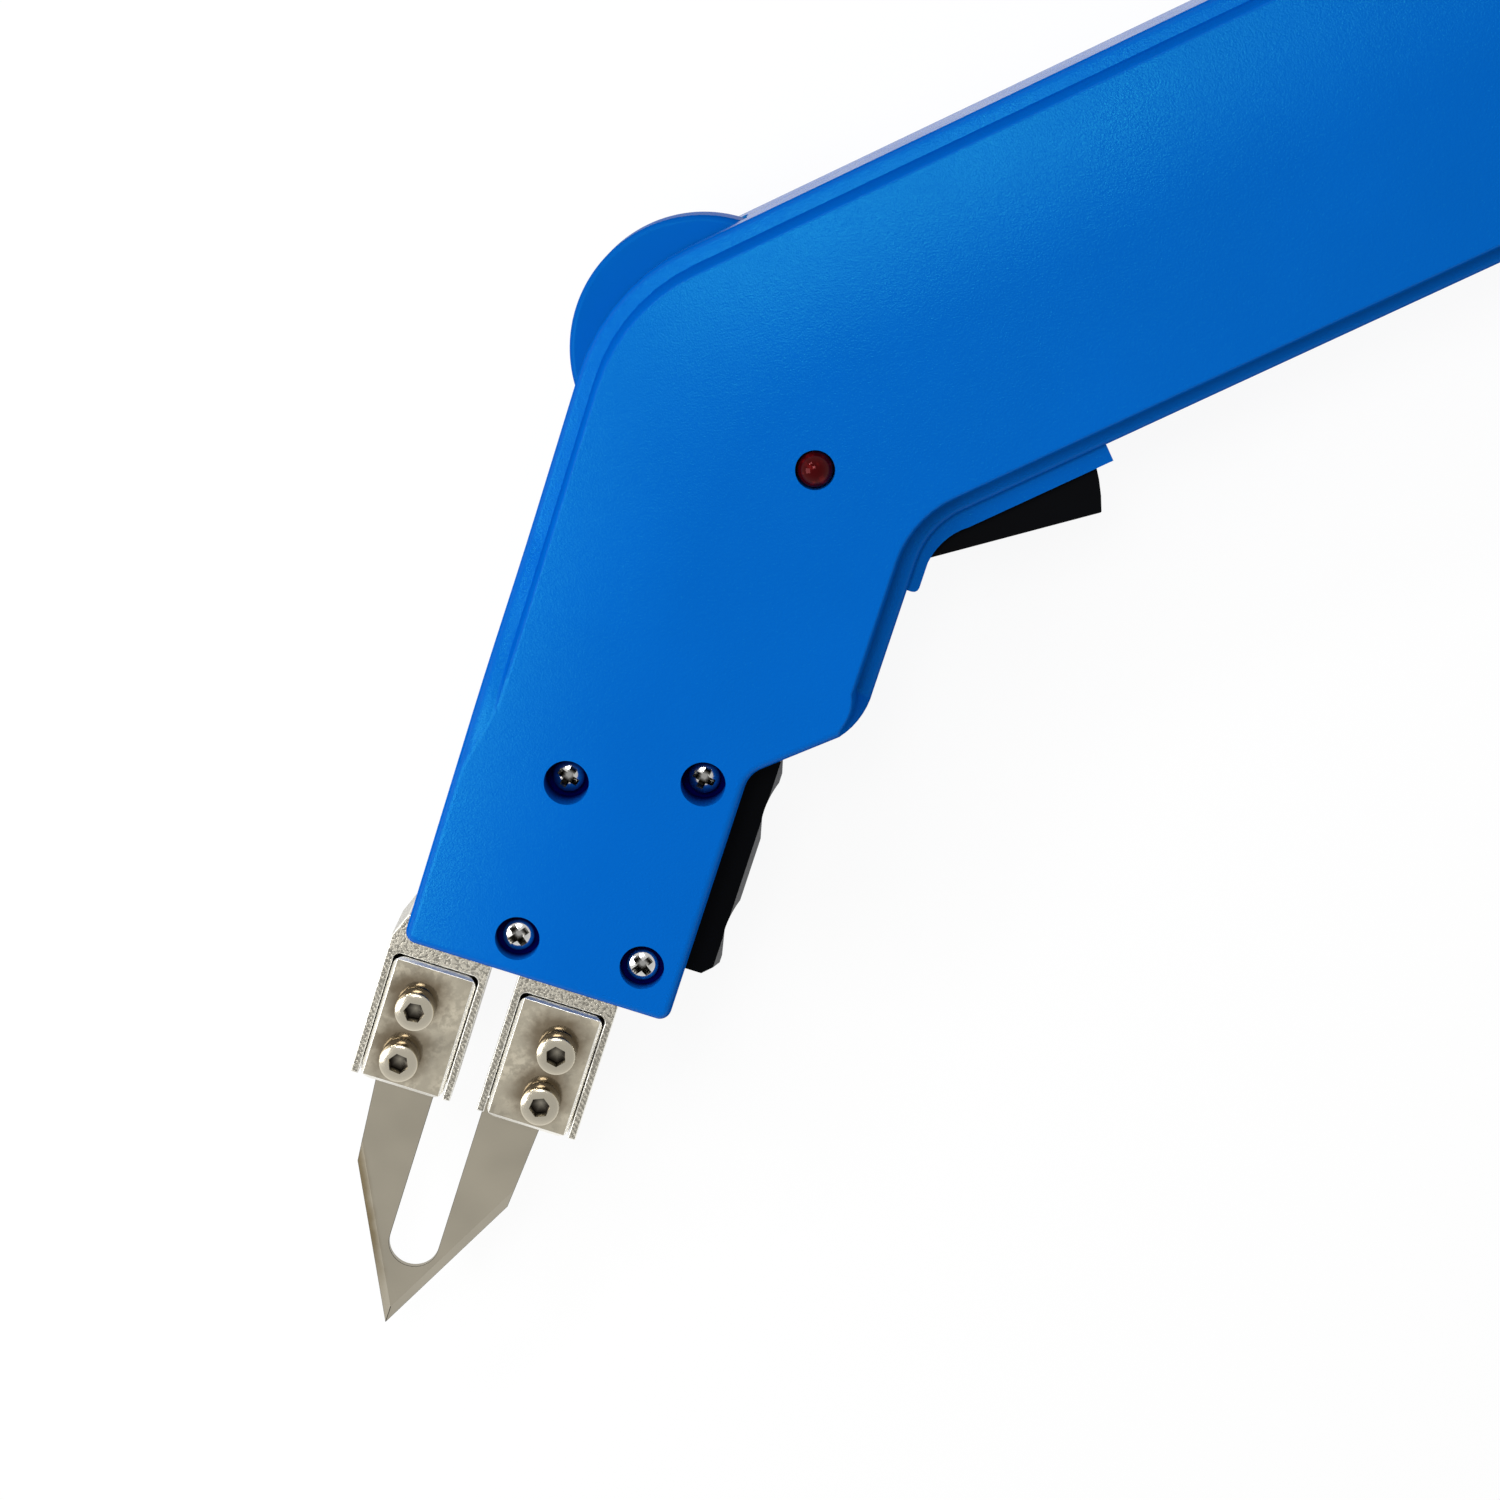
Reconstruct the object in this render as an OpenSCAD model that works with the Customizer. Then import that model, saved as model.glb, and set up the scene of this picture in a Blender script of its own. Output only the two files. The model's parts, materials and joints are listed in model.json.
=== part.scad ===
// Bent-handle electric hot knife, lying on its right side.
// X runs rearward along the handle, Y to the top of the tool, Z up from the resting face.
// The elbow, where the handle and nose centre lines cross, is at X = 0 and Y = 0.
// Lengths are in millimetres.

/* [Housing] */
// Elbow to the rear wall of the handle
handle_len = 130; // [126:1:140]
// Height of the handle over the two rims
handle_h = 46.2; // [45.4:0.2:48]
// Thickness over the two flat side panels
body_t = 38; // [37:0.5:41]
// Thickness of the rim that carries the parting line
rim_t = 24.6; // [24.2:0.2:25.6]
// Width of the step between rim and side panel
ledge_w = 2.2; // [1.8:0.1:2.6]
// Moulded wall thickness
wall = 2.4; // [2:0.1:2.6]
// Radius on the outside of the elbow
elbow_r = 27; // [25:0.5:28]
// Radius on the inside of the elbow
bend_r = 11; // [9:0.5:12]

/* [Nose] */
// Angle between the handle line and the nose line
nose_angle = 47; // [46:0.5:48]
// Elbow to the front face of the nose
nose_len = 76.3; // [75:0.1:80]
// Width of the front of the nose
nose_w = 37.2; // [36.6:0.2:39]
// Nose line to the lower edge beside the trigger
finger_v = 31.2; // [30.4:0.2:32]
// Elbow to the inner corner of the finger notch
notch_s = 40.2; // [39.6:0.2:41.4]
// Height the trigger collar stands below the handle
collar_h = 2.6; // [2:0.1:3]

/* [Controls] */
// Radius of the temperature wheel
wheel_r = 17.7; // [17:0.1:18]
// Width of the temperature wheel
wheel_w = 9; // [7:0.5:10]
// Width of the trigger
trigger_w = 16; // [13:0.5:16]
// Pivot to the rear face of the trigger
trigger_r = 24.3; // [23.6:0.1:24.6]
// Angle of the trigger face below the handle line, at rest
trigger_angle = 11; // [9:0.2:12]
// Diameter of the trigger pin
pin_d = 4; // [3:0.1:4.4]
// Diameter of the indicator lamp
led_d = 4.8; // [4:0.1:5]

/* [Blade and carriers] */
// Width of the blade over both legs, at the clamps
blade_w = 24.4; // [22.4:0.2:25]
// Width of the blade at its shoulders
shoulder_w = 22.4; // [20:0.2:23]
// Blade thickness
blade_t = 1; // [0.6:0.1:1.2]
// Clamped end of the legs to the shoulders
leg_len = 29.2; // [27:0.1:31]
// Shoulders to the tip
tip_len = 22.5; // [20:0.1:25]
// Width of the slot between the legs
slot_w = 7.2; // [6:0.2:8]
// Width of a carrier head
carrier_w = 14.5; // [14.3:0.1:15]
// Height of a carrier bar
carrier_t = 12.5; // [12:0.1:13]
// Gap between the two carriers
carrier_gap = 3.9; // [3.7:0.1:4.4]
// Nose face to the front end of the carriers
carrier_out = 24.7; // [23.6:0.1:26]

/* [Electrics] */
// Lamination unit of the transformer core, half a centre leg
lam_u = 6.6; // [6.4:0.1:6.7]
// Lamination stack
stack_t = 16; // [13:0.5:16.5]
// Thickness of the secondary strap
strap_t = 2; // [1.5:0.1:2.2]
// Circuit board thickness
board_t = 1.6; // [1.2:0.1:2]
// Bore of the cable gland
cable_d = 7.2; // [6:0.2:8]

/* [Fasteners] */
// Shank diameter of the housing screws
screw_d = 2.5; // [2:0.1:2.6]
// Head diameter of the housing screws
head_d = 4; // [3.6:0.1:4.4]
// Shank diameter of the clamp screws
cap_d = 3; // [2.6:0.1:3.2]
// Head diameter of the clamp screws
cap_head_d = 5.5; // [5:0.1:5.7]

/* [Hidden] */
$fn = 64;
eps = 0.01;
// Running and resting clearances
run = 0.05;
seat = 0.1;
slide = 0.15;
loose = 0.3;
press = 0.02;
// Reach of a cut beyond the face it opens
over = 1;
// Larger than the whole tool
far = 90;
mid = body_t / 2;
half_h = handle_h / 2;
half_w = nose_w / 2;
half_rim = rim_t / 2;
// Draft and rounding of the raised side panel
draft = 1.2;
panel_in = ledge_w + draft;
end_r = 10;
front_r = 1.6;
notch_r = 4;
lip_r = 8;
lip_s = 29.4;
// The step dies out along the upper nose edge between these two stations
fade_from = 17;
fade_to = 43;
// Length over which the mesh of the dead step gathers at the plain edge
gather = 8;
fade_steps = 6;
arc_steps = 7;

// Nose frame: x towards the tip, y towards the finger side
nose_dir = [-cos(nose_angle), -sin(nose_angle)];
nose_side = [sin(nose_angle), -cos(nose_angle)];
function nose_pt(s, v) = s * nose_dir + v * nose_side;
// Crossing of a line along the handle with a line along the nose
function bend_pt(y, v) = [(v + cos(nose_angle) * y) / sin(nose_angle), y];

// Insulator pocket in the nose
pocket_s = 39.5;
front_wall = 2.4;
pocket_v = half_w - wall;
pocket_z = 12;
block_end = nose_len - front_wall - seat;

// Nose screws: station, offset and depth of the head
carrier_mid = -4.35;
nose_screw_at = [
    [notch_s + 8.4, carrier_mid + 0.3, 3.3],
    [notch_s + 3, 13.2, 3.3],
    [nose_len - 5.2, carrier_mid + 0.3, 1.2],
    [nose_len - 6.5, 13.0, 0.8]
];
head_h = 1.9;
head_edge = 0.5;
// Cross recess
cross_l = 2.5;
cross_w = 0.6;
cross_deep = 1;
cross_turn = 20;
bore_d = head_d + 2;
tip_z = 3.2;
tip_room = 0.4;
rear_screw_at = [[handle_len - 8, 13.5], [handle_len - 8, -13.5]];
rear_depth = 3.3;
post_d = 7;
// Depth that a post or boss is rooted in its wall
root = 0.2;

// Wheel and potentiometer
wheel_at = [3.6, 9.9];
wheel_z0 = mid - wheel_w / 2;
wheel_gap = 0.6;
wheel_edge = 0.8;
wheel_dish = 1.6;
rim_w = 8;
hub_r = 5.5;
shaft_r = 3;
pot_r = 7;
pot_floor = 2;
shaft_in = 0.5;
board_z = 5.4;
board_top = board_z + board_t;
pot_z = wheel_z0 - 1;

// Trigger
pivot = [20.5, -21.5];
barrel_r = 6.2;
trigger_top = 5;
barrel_gap = 0.4;
barrel_steps = 24;
// Degrees taken off the lower rear corner of the trigger
corner_cut = 1;
// Reach of the trigger slot below and above the pivot
slot_down = 16;
slot_up = 9.5;
trigger_z0 = mid - trigger_w / 2;
collar_w = 10;
collar_end = pivot[0] + trigger_r + 1.9;
slot_end = pivot[0] + trigger_r + 0.45;
collar_front = 9.2;
collar_thin = 1.6;
collar_root = 2;
pin_r = pin_d / 2;
pin_half = 10.8;
pivot_boss_r = 5.4;

// Circuit board, with three moulded pegs
board_x = [-1.5, 45];
board_y = [-13, 13];
board_pegs = [[43, -9.5], [43, 9.5], [1, -9.5]];
peg_r = 1.3;
peg_up = 0.6;
standoff_r = 3;

// Triac, standing on its three legs
triac_at = [24, 0];
triac_up = 3;
triac_case = [10, 4.4, 9];
triac_tab_t = 1.3;
triac_tab_h = 6;
triac_hole_r = 1.8;
leg_pitch = 2.54;
leg_w = 0.8;
leg_t = 0.6;

// Capacitor
cap_box = [13, 6, 11];
cap_box_at = [25, 6.5];

// Switch on the board
switch_x = [26, 41];
switch_y = [-11, -3];
switch_h = 12;
plunger_x = 36;
plunger_z = 14.5;
plunger_r = 1.7;
plunger_tip = pivot[1] + trigger_top + 0.35;
plunger_nose = 0.7;
plunger_in = 2.4;
plunger_bore = 5.2;

// Lamp
led_at = [11.2, -9.1];
led_seat = body_t - 6;
led_flange_h = 1;
led_top = body_t + 1;
led_boss = 1.2;
led_gap = 0.2;
led_flange_w = 0.5;
led_wire = 0.5;
led_pitch = 2.5;

// Transformer
core_half = 3 * lam_u;
// Ribs that hold the core lengthwise
rib_t = 2;
rib_half = 9;
rib_up = 9;
rib_room = rib_t + 2 * run;
// Core and cord clamp share the length that is free behind the board
rear_room = 12;
clamp_w = 7;
spare = handle_len - rear_room - board_x[1] - 2 * core_half - clamp_w - 2 * rib_room;
core_x = board_x[1] + rib_room + 0.23 * spare + core_half;
core_z = 2.5 * lam_u;
window_z = 1.5 * lam_u;
tube_t = 1;
flange_t = 1.2;
coil_x = 2 * lam_u - strap_t - 0.5;
coil_y = stack_t / 2 + 4.6;
strap_y = coil_y + loose + strap_t / 2;
strap_h = 12;
bar_z0 = 27.5;
bar_h = 6;
bar_step = core_x - core_half - 4;
bar_lap = 5;
strap_gap = 0.2;
strap_bend = 1.2;
bolt_r = 1.5;
bolt_head_r = 2.6;
bolt_nut_r = 2.8;
bolt_head_h = 2;
// Bolt places, in lamination units
bolt_at = [[-2.5, -2], [-2.5, 2], [2.5, -2], [2.5, 2]];

// Carriers, plates and blade
carrier_z0 = 12;
carrier_top = carrier_z0 + carrier_t;
shank_w = 9;
// Length and depth of the slanted rear corner of a carrier head
head_cut = [3.6, 1.4];
shank_s = 26;
carrier_head_s = nose_len + 0.3;
carrier_end = nose_len + carrier_out;
pocket_rear = nose_len + 6.1;
side_wall = 1.1;
mill_r = 1;
cap_tip = 2;
floor_z = carrier_z0 + 5.5;
plate_gap = 0.15;
plate_bevel = 0.5;
plate_corner = 1.6;
plate_end = carrier_end + 0.2;
plate_rear = pocket_rear + 0.25;
plate_l = plate_end - plate_rear;
plate_z0 = floor_z + blade_t;
plate_top = carrier_top + 0.2;
cap_s = [carrier_end - 12.05, carrier_end - 4.25];
cap_v = 6.05 + carrier_gap / 2 + 2.25;
cap_head_h = 3;
cap_edge = 0.4;
hex_af = 2.5;
hex_deep = 1.6;
blade_mid = carrier_mid - 0.8;
tip_v = -0.5;
blade_rear = carrier_end - 14.2;
shoulder_s = blade_rear + leg_len;
tip_s = shoulder_s + tip_len;
slot_end_s = tip_s - 13.2;
bevel_deg = 20;
bevel_land = 0.06;
// Reach of the grinding cuts beyond the blade
grind_over = 6;
strap_foot_s = [26.8, 36.2];
foot_bolt_s = 31.4;
foot_bolt_r = 2;
foot_head_r = 3.1;
foot_head_z = carrier_top + 1.8;
foot_head_h = 2.4;
foot_tip = 3;
foot_w = 8;
foot_v = carrier_gap / 2 + shank_w / 2;

// Guide shoe under the nose
shoe_z = [mid - 10, mid + 10];
shoe_gap = 0.05;
shoe_base = half_w + shoe_gap;
shoe_top = half_w + 4.7;
shoe_s = [notch_s - 1.4, nose_len - 5.5];
shoe_len = shoe_s[1] - shoe_s[0];
scallop_s = [shoe_s[0] + 0.234 * shoe_len, shoe_s[0] + 0.775 * shoe_len];
shoe_cut = 2;
scallop_deep = 0.8;
scallop_r = 0.34 * shoe_len;
// Bevel along the outer edges: depth and height
shoe_bevel = [0.7, 0.9];
shoe_screw_z = mid + 5.5;
shoe_screw_r = 1.5;
shoe_screw_in = 2.3;
shoe_screw_head = [2.7, 1.5];
shoe_seat = 2.1;
shoe_hole = 6;
shoe_hex_r = 1.15;
shoe_hex_deep = 0.8;

// Rear end of the handle
gland_r = 7;
gland_flange_r = 9;
gland_flange_t = 2.6;
gland_out = 6;
gland_in = 2;
gland_trim = 0.4;
clamp_x = core_x + core_half + rib_room + 0.3 * spare + clamp_w / 2;
clamp_post_y = 9;
clamp_z0 = mid + 1.5;
clamp_t = 4;
clamp_half = 13;
clamp_tip = 9;
clamp_bite = 0.2;

// Plane geometry
function unit(a) = a / norm(a);
function turn(a, d) = [a[0] * cos(d) - a[1] * sin(d), a[0] * sin(d) + a[1] * cos(d)];
function left_of(a) = [-a[1], a[0]];
function cross2(a, b) = a[0] * b[1] - a[1] * b[0];
function xy(p) = [p[0], p[1]];
function at(list, i) = list[(i + len(list)) % len(list)];
function arc(c, r, a0, a1, n) = [for (k = [0 : n]) let (a = a0 + (a1 - a0) * k / n)
    [c[0] + r * cos(a), c[1] + r * sin(a)]];

// Points of one rounded corner of a loop: place, inward normal and step weight from w0 to w1
function corner(loop, i, w0, w1) =
    let (b = xy(at(loop, i)), r = at(loop, i)[2],
         u1 = unit(b - xy(at(loop, i - 1))), u2 = unit(xy(at(loop, i + 1)) - b),
         bend = atan2(cross2(u1, u2), u1 * u2), side = sign(bend),
         start = b - u1 * r * tan(abs(bend) / 2),
         centre = start + side * r * left_of(u1))
    [for (k = [0 : arc_steps])
        let (n = turn(left_of(u1), bend * k / arc_steps), p = centre - side * r * n)
        [p[0], p[1], n[0], n[1], w0 + (w1 - w0) * k / arc_steps]];

// The loop moved inward, edge by edge, with its radii kept tangent
function inset(loop, d) = [for (i = [0 : len(loop) - 1])
    let (b = xy(loop[i]),
         u1 = unit(b - xy(at(loop, i - 1))), u2 = unit(xy(at(loop, i + 1)) - b),
         p = b + d * left_of(u1), q = b + d * left_of(u2),
         t = cross2(q - p, u2) / cross2(u1, u2), m = p + u1 * t,
         r = loop[i][2] - sign(cross2(u1, u2)) * d)
    [m[0], m[1], max(r, 0.6)]];
function rounded(loop) = [for (i = [0 : len(loop) - 1], p = corner(loop, i, 1, 1)) xy(p)];

// Outer outline of the housing as sharp corners with radii
outline = [
    [handle_len, half_h, end_r],
    concat(bend_pt(half_h, -half_w), elbow_r),
    concat(nose_pt(nose_len, -half_w), front_r),
    concat(nose_pt(nose_len, half_w), front_r),
    concat(nose_pt(notch_s, half_w), notch_r),
    concat(nose_pt(lip_s, finger_v), lip_r),
    concat(bend_pt(-half_h, finger_v), bend_r),
    [handle_len, -half_h, end_r]
];
// Offset of the finger notch line at a station along the nose
function notch_v(s) = half_w + (notch_s - s) * (finger_v - half_w) / (notch_s - lip_s);
// Cavity outline, stopped short of the insulator pocket
hollow = [
    [handle_len, half_h, end_r],
    concat(bend_pt(half_h, -half_w), elbow_r),
    concat(nose_pt(pocket_s + wall, -half_w), 1),
    concat(nose_pt(pocket_s + wall, notch_v(pocket_s + wall)), 1),
    concat(nose_pt(lip_s, finger_v), lip_r),
    concat(bend_pt(-half_h, finger_v), bend_r),
    [handle_len, -half_h, end_r]
];

// Points along the upper nose edge where the step dies out, with the share of the filled section last
function upper_pt(s, w, g) = concat(nose_pt(s, -half_w), nose_side, [w, g]);
fade = concat(
    [for (k = [0 : fade_steps]) let (f = k / fade_steps)
        upper_pt(fade_from + (fade_to - fade_from) * f, (1 + cos(180 * f)) / 2, 1)],
    [for (f = [0.5, 1]) upper_pt(fade_to + gather * f, 0, 1 - f)]);
ring = concat(corner(outline, 0, 1, 1), corner(outline, 1, 1, 1), fade, corner(outline, 2, 0, 0),
              corner(outline, 3, 0, 0), corner(outline, 4, 0, 0), corner(outline, 5, 0, 1),
              corner(outline, 6, 1, 1), corner(outline, 7, 1, 1));
// Edge sections as height above the parting plane and distance in from the outline
stepped = [[0, 0], [half_rim - 0.9, 0], [half_rim - 0.3, 0.25], [half_rim, 0.9],
           [half_rim, ledge_w], [half_rim + 0.4, ledge_w + 0.2], [mid - 1.5, ledge_w + 0.5],
           [mid - 0.45, ledge_w + 0.75], [mid, panel_in]];
// The step filled up to the panel, and the plain edge of the nose
filled = [[0, 0], [mid - 1.2, 0], [mid - 0.4, 0.3], [mid, 1.2], [mid, ledge_w], [mid, ledge_w + 0.2],
          [mid, ledge_w + 0.5], [mid, ledge_w + 0.75], [mid, panel_in]];
plain = [[0, 0], [mid - 1.2, 0], [mid - 0.9, 0.05], [mid - 0.62, 0.15], [mid - 0.38, 0.31],
         [mid - 0.2, 0.5], [mid - 0.08, 0.72], [mid - 0.02, 0.95], [mid, 1.2]];
function edge_at(k, w, g) =
    let (flat = plain[k] + (filled[k] - plain[k]) * g) flat + (stepped[k] - flat) * w;
layers = len(stepped);

// One housing half as a loft from the parting plane to the side panel
module half_loft() {
    n = len(ring);
    points = concat(
        [for (k = [0 : layers - 1], p = ring)
            let (e = edge_at(k, p[4], len(p) > 5 ? p[5] : 0))
            [p[0] + p[2] * e[1], p[1] + p[3] * e[1], e[0]]],
        [[0, 0, 0], [0, 0, mid]]);
    sides = [for (k = [0 : layers - 2], i = [0 : n - 1])
        let (a = k * n + i, b = k * n + (i + 1) % n) [[a, a + n, b + n], [a, b + n, b]]];
    caps = [for (i = [0 : n - 1])
        let (j = (i + 1) % n, top = (layers - 1) * n)
        [[n * layers, i, j], [n * layers + 1, top + j, top + i]]];
    polyhedron(points = points, faces = concat([for (s = sides, f = s) f], [for (c = caps, f = c) f]));
}

module in_nose() {
    rotate([0, 0, 180 + nose_angle]) children();
}

// Box between two corners
module block(p, q) {
    translate(p) cube(q - p);
}

module post(p, r, z0, z1) {
    translate([p[0], p[1], z0]) cylinder(r = r, h = z1 - z0);
}

module plate2d(outline2d, z0, z1) {
    translate([0, 0, z0]) linear_extrude(height = z1 - z0) polygon(outline2d);
}

// Raised lip round the trigger slot
module collar() {
    c = corner(outline, 6, 1, 1);
    n = arc_steps;
    front = bend_pt(-half_h, finger_v) + nose_dir * collar_front;
    outer = [for (k = [0 : n]) let (p = c[k], h = collar_thin + (collar_h - collar_thin) * k / n)
        [p[0] - p[2] * h, p[1] - p[3] * h]];
    r = collar_thin / 2;
    nub = front + r * (nose_side - nose_dir);
    plate2d(concat([front - nose_side * collar_root],
        [for (a = [0 : 30 : 90]) nub + r * (cos(a) * nose_dir + sin(a) * nose_side)], outer,
        [[collar_end, -half_h - collar_h], [collar_end, -half_h + collar_root],
         [c[n][0], -half_h + collar_root]]),
        mid - collar_w, mid + collar_w);
}

// Space the trigger needs, open to the inside
module trigger_slot() {
    z0 = trigger_z0 - loose;
    z1 = trigger_z0 + trigger_w + loose;
    post(pivot, barrel_r + barrel_gap, z0, z1);
    block([pivot[0], pivot[1] - slot_down, z0], [slot_end, pivot[1] + slot_up, z1]);
}

module hollow_out() {
    rim_z = half_rim - wall;
    plate2d(rounded(inset(hollow, wall)), mid - rim_z, mid + rim_z);
    plate2d(rounded(inset(hollow, panel_in + wall - 0.5)), wall, body_t - wall);
}

// Cuts both halves share
module common_cuts() {
    in_nose() {
        block([pocket_s, -pocket_v, mid - pocket_z],
              [nose_len - front_wall, pocket_v, mid + pocket_z]);
        for (m = [0, 1]) carrier_place(m)
            block([pocket_s, carrier_gap / 2 - slide, carrier_z0 - slide],
                  [nose_len + over, carrier_gap / 2 + shank_w + slide, carrier_top + slide]);
        for (p = nose_screw_at) post(p, screw_d / 2, tip_z - tip_room, body_t);
        for (s = scallop_s) translate([s, half_w, shoe_screw_z]) rotate([90, 0, 0])
            translate([0, 0, -over]) cylinder(r = shoe_screw_r, h = shoe_hole + over);
    }
    post(wheel_at, wheel_r + wheel_gap, wheel_z0 - loose, wheel_z0 + wheel_w + loose);
    trigger_slot();
    post(pivot, pin_r + press, mid - pin_half - slide, mid + pin_half + slide);
    for (p = rear_screw_at) post(p, screw_d / 2, tip_z - tip_room, body_t);
    translate([handle_len - panel_in - 2 * wall, 0, mid]) rotate([0, 90, 0])
        cylinder(r = gland_r + run, h = panel_in + 2 * wall + over);
}

// Posts and ribs, drawn on the left half and mirrored to the right half
module inner_posts() {
    for (p = rear_screw_at) post(p, post_d / 2, 0, mid - wall + root);
    for (x = [core_x - core_half - rib_t - run, core_x + core_half + run])
        block([x, -rib_half, rib_up], [x + rib_t, rib_half, mid - wall + root]);
    post(pivot, pivot_boss_r, trigger_w / 2 + loose, half_rim - root);
}

module left_half_body() {
    difference() {
        half_loft();
        translate([0, 0, -mid]) hollow_out();
    }
    intersection() {
        inner_posts();
        half_loft();
    }
}

module left_housing() {
    color([0.0, 0.13, 0.54]) difference() {
        union() {
            translate([0, 0, mid]) left_half_body();
            intersection() {
                collar();
                block([-far, -far, mid], [handle_len, 0, body_t]);
            }
            post(led_at, led_d / 2 + led_boss, led_seat + led_flange_h, body_t - wall + root);
        }
        common_cuts();
        in_nose() for (p = nose_screw_at)
            post(p, bore_d / 2, body_t - p[2] - head_h, body_t + over);
        for (p = rear_screw_at)
            post(p, bore_d / 2, body_t - rear_depth - head_h, body_t + over);
        post(led_at, led_d / 2 + led_gap, led_seat, body_t + over);
    }
}

module right_housing() {
    color([0.0, 0.13, 0.54]) difference() {
        union() {
            translate([0, 0, mid]) mirror([0, 0, 1]) left_half_body();
            intersection() {
                collar();
                block([-far, -far, 0], [handle_len, 0, mid]);
            }
            for (p = board_pegs) {
                post(p, standoff_r, wall - root, board_z);
                post(p, peg_r, board_z, board_top + peg_up);
            }
            for (y = [-clamp_post_y, clamp_post_y])
                post([clamp_x, y], post_d / 2, wall - root, clamp_z0);
        }
        common_cuts();
        for (y = [-clamp_post_y, clamp_post_y])
            post([clamp_x, y], screw_d / 2, clamp_tip - over, clamp_z0 + over);
    }
}

// Cross-recessed screw pointing down, head top at the given height
module cross_screw(p, head_z, end_z) {
    translate([p[0], p[1], 0]) difference() {
        union() {
            translate([0, 0, head_z - head_h]) cylinder(r = head_d / 2, h = head_h - head_edge);
            translate([0, 0, head_z - head_edge])
                cylinder(r1 = head_d / 2, r2 = head_d / 2 - head_edge, h = head_edge);
            translate([0, 0, end_z]) cylinder(r = screw_d / 2 - press, h = head_z - head_h - end_z);
        }
        for (a = [0, 90]) rotate([0, 0, a + cross_turn])
            translate([-cross_l / 2, -cross_w / 2, head_z - cross_deep])
                cube([cross_l, cross_w, cross_deep + over]);
    }
}

module nose_screws() {
    color([0.75, 0.76, 0.78]) in_nose()
        for (p = nose_screw_at) cross_screw(p, body_t - p[2], tip_z);
}

module rear_screws() {
    color([0.75, 0.76, 0.78])
        for (p = rear_screw_at) cross_screw(p, body_t - rear_depth, tip_z);
}

module temperature_wheel() {
    h = wheel_w / 2;
    web = h - wheel_dish;
    bore = shaft_r + eps;
    color([0.0, 0.16, 0.6]) translate([wheel_at[0], wheel_at[1], mid]) rotate_extrude()
        polygon(concat([[bore, -h], [hub_r, -h], [hub_r + 1, -web], [wheel_r - rim_w - 1, -web],
                        [wheel_r - rim_w, -h]],
            arc([wheel_r - wheel_edge, -h + wheel_edge], wheel_edge, -90, 0, 5),
            arc([wheel_r - wheel_edge, h - wheel_edge], wheel_edge, 0, 90, 5),
            [[wheel_r - rim_w, h], [wheel_r - rim_w - 1, web], [hub_r + 1, web], [hub_r, h],
             [bore, h]]));
}

module potentiometer() {
    color([0.25, 0.27, 0.3]) translate([wheel_at[0], wheel_at[1], 0]) difference() {
        translate([0, 0, board_top]) cylinder(r = pot_r, h = pot_z - board_top);
        translate([0, 0, board_top + pot_floor]) cylinder(r = shaft_r + run, h = body_t);
    }
}

module potentiometer_shaft() {
    color([0.7, 0.7, 0.72]) translate([wheel_at[0], wheel_at[1], board_top + pot_floor + run])
        cylinder(r = shaft_r, h = wheel_z0 + wheel_w - shaft_in - board_top - pot_floor);
}

module control_board() {
    color([0.05, 0.3, 0.15]) difference() {
        block([board_x[0], board_y[0], board_z], [board_x[1], board_y[1], board_top]);
        for (p = board_pegs) post(p, peg_r + run, 0, body_t);
    }
}

module triac() {
    q = triac_case;
    z0 = board_top + triac_up;
    color([0.1, 0.1, 0.11]) translate([triac_at[0], triac_at[1], 0]) {
        block([0, 0, z0], [q[0], q[1], z0 + q[2]]);
        difference() {
            block([0, q[1] - triac_tab_t, z0 + q[2] - eps], [q[0], q[1], z0 + q[2] + triac_tab_h]);
            translate([q[0] / 2, 0, z0 + q[2] + triac_tab_h / 2]) rotate([-90, 0, 0])
                cylinder(r = triac_hole_r, h = 2 * q[1]);
        }
        for (i = [-1, 0, 1]) translate([q[0] / 2 + i * leg_pitch, q[1] / 2, 0])
            block([-leg_w / 2, -leg_t / 2, board_top], [leg_w / 2, leg_t / 2, z0 + eps]);
    }
}

module capacitor() {
    color([0.75, 0.55, 0.1]) translate([cap_box_at[0], cap_box_at[1], board_top]) cube(cap_box);
}

module indicator_lamp() {
    r = led_d / 2;
    color([0.5, 0.02, 0.03]) translate([led_at[0], led_at[1], 0]) {
        translate([0, 0, led_seat + eps]) cylinder(r = r + led_flange_w, h = led_flange_h - eps);
        translate([0, 0, led_seat + eps]) cylinder(r = r, h = led_top - r - led_seat);
        translate([0, 0, led_top - r]) sphere(r = r);
        for (x = [-led_pitch / 2, led_pitch / 2])
            block([x - led_wire / 2, -led_wire / 2, board_top],
                  [x + led_wire / 2, led_wire / 2, led_seat + root]);
    }
}

// Wedge with a barrel front on the pivot and a rear face turned about it
module trigger() {
    low = turn([0, -barrel_r], -trigger_angle);
    slope = turn([1, 0], -trigger_angle);
    reach = sqrt(trigger_r * trigger_r - barrel_r * barrel_r);
    corner_pt = low + slope * reach;
    a0 = atan2(corner_pt[1], corner_pt[0]);
    a1 = asin(trigger_top / trigger_r);
    barrel_end = asin(trigger_top / barrel_r);
    color([0.04, 0.04, 0.045]) translate([pivot[0], pivot[1], trigger_z0]) difference() {
        linear_extrude(height = trigger_w)
            polygon(concat(arc([0, 0], barrel_r, -90 - trigger_angle, barrel_end - 360, barrel_steps),
                           arc([0, 0], trigger_r, a1, a0 + corner_cut, arc_steps)));
        translate([0, 0, -over]) cylinder(r = pin_r + run, h = trigger_w + 2 * over);
    }
}

module trigger_pin() {
    color([0.7, 0.71, 0.73]) post(pivot, pin_r, mid - pin_half, mid + pin_half);
}

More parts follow.
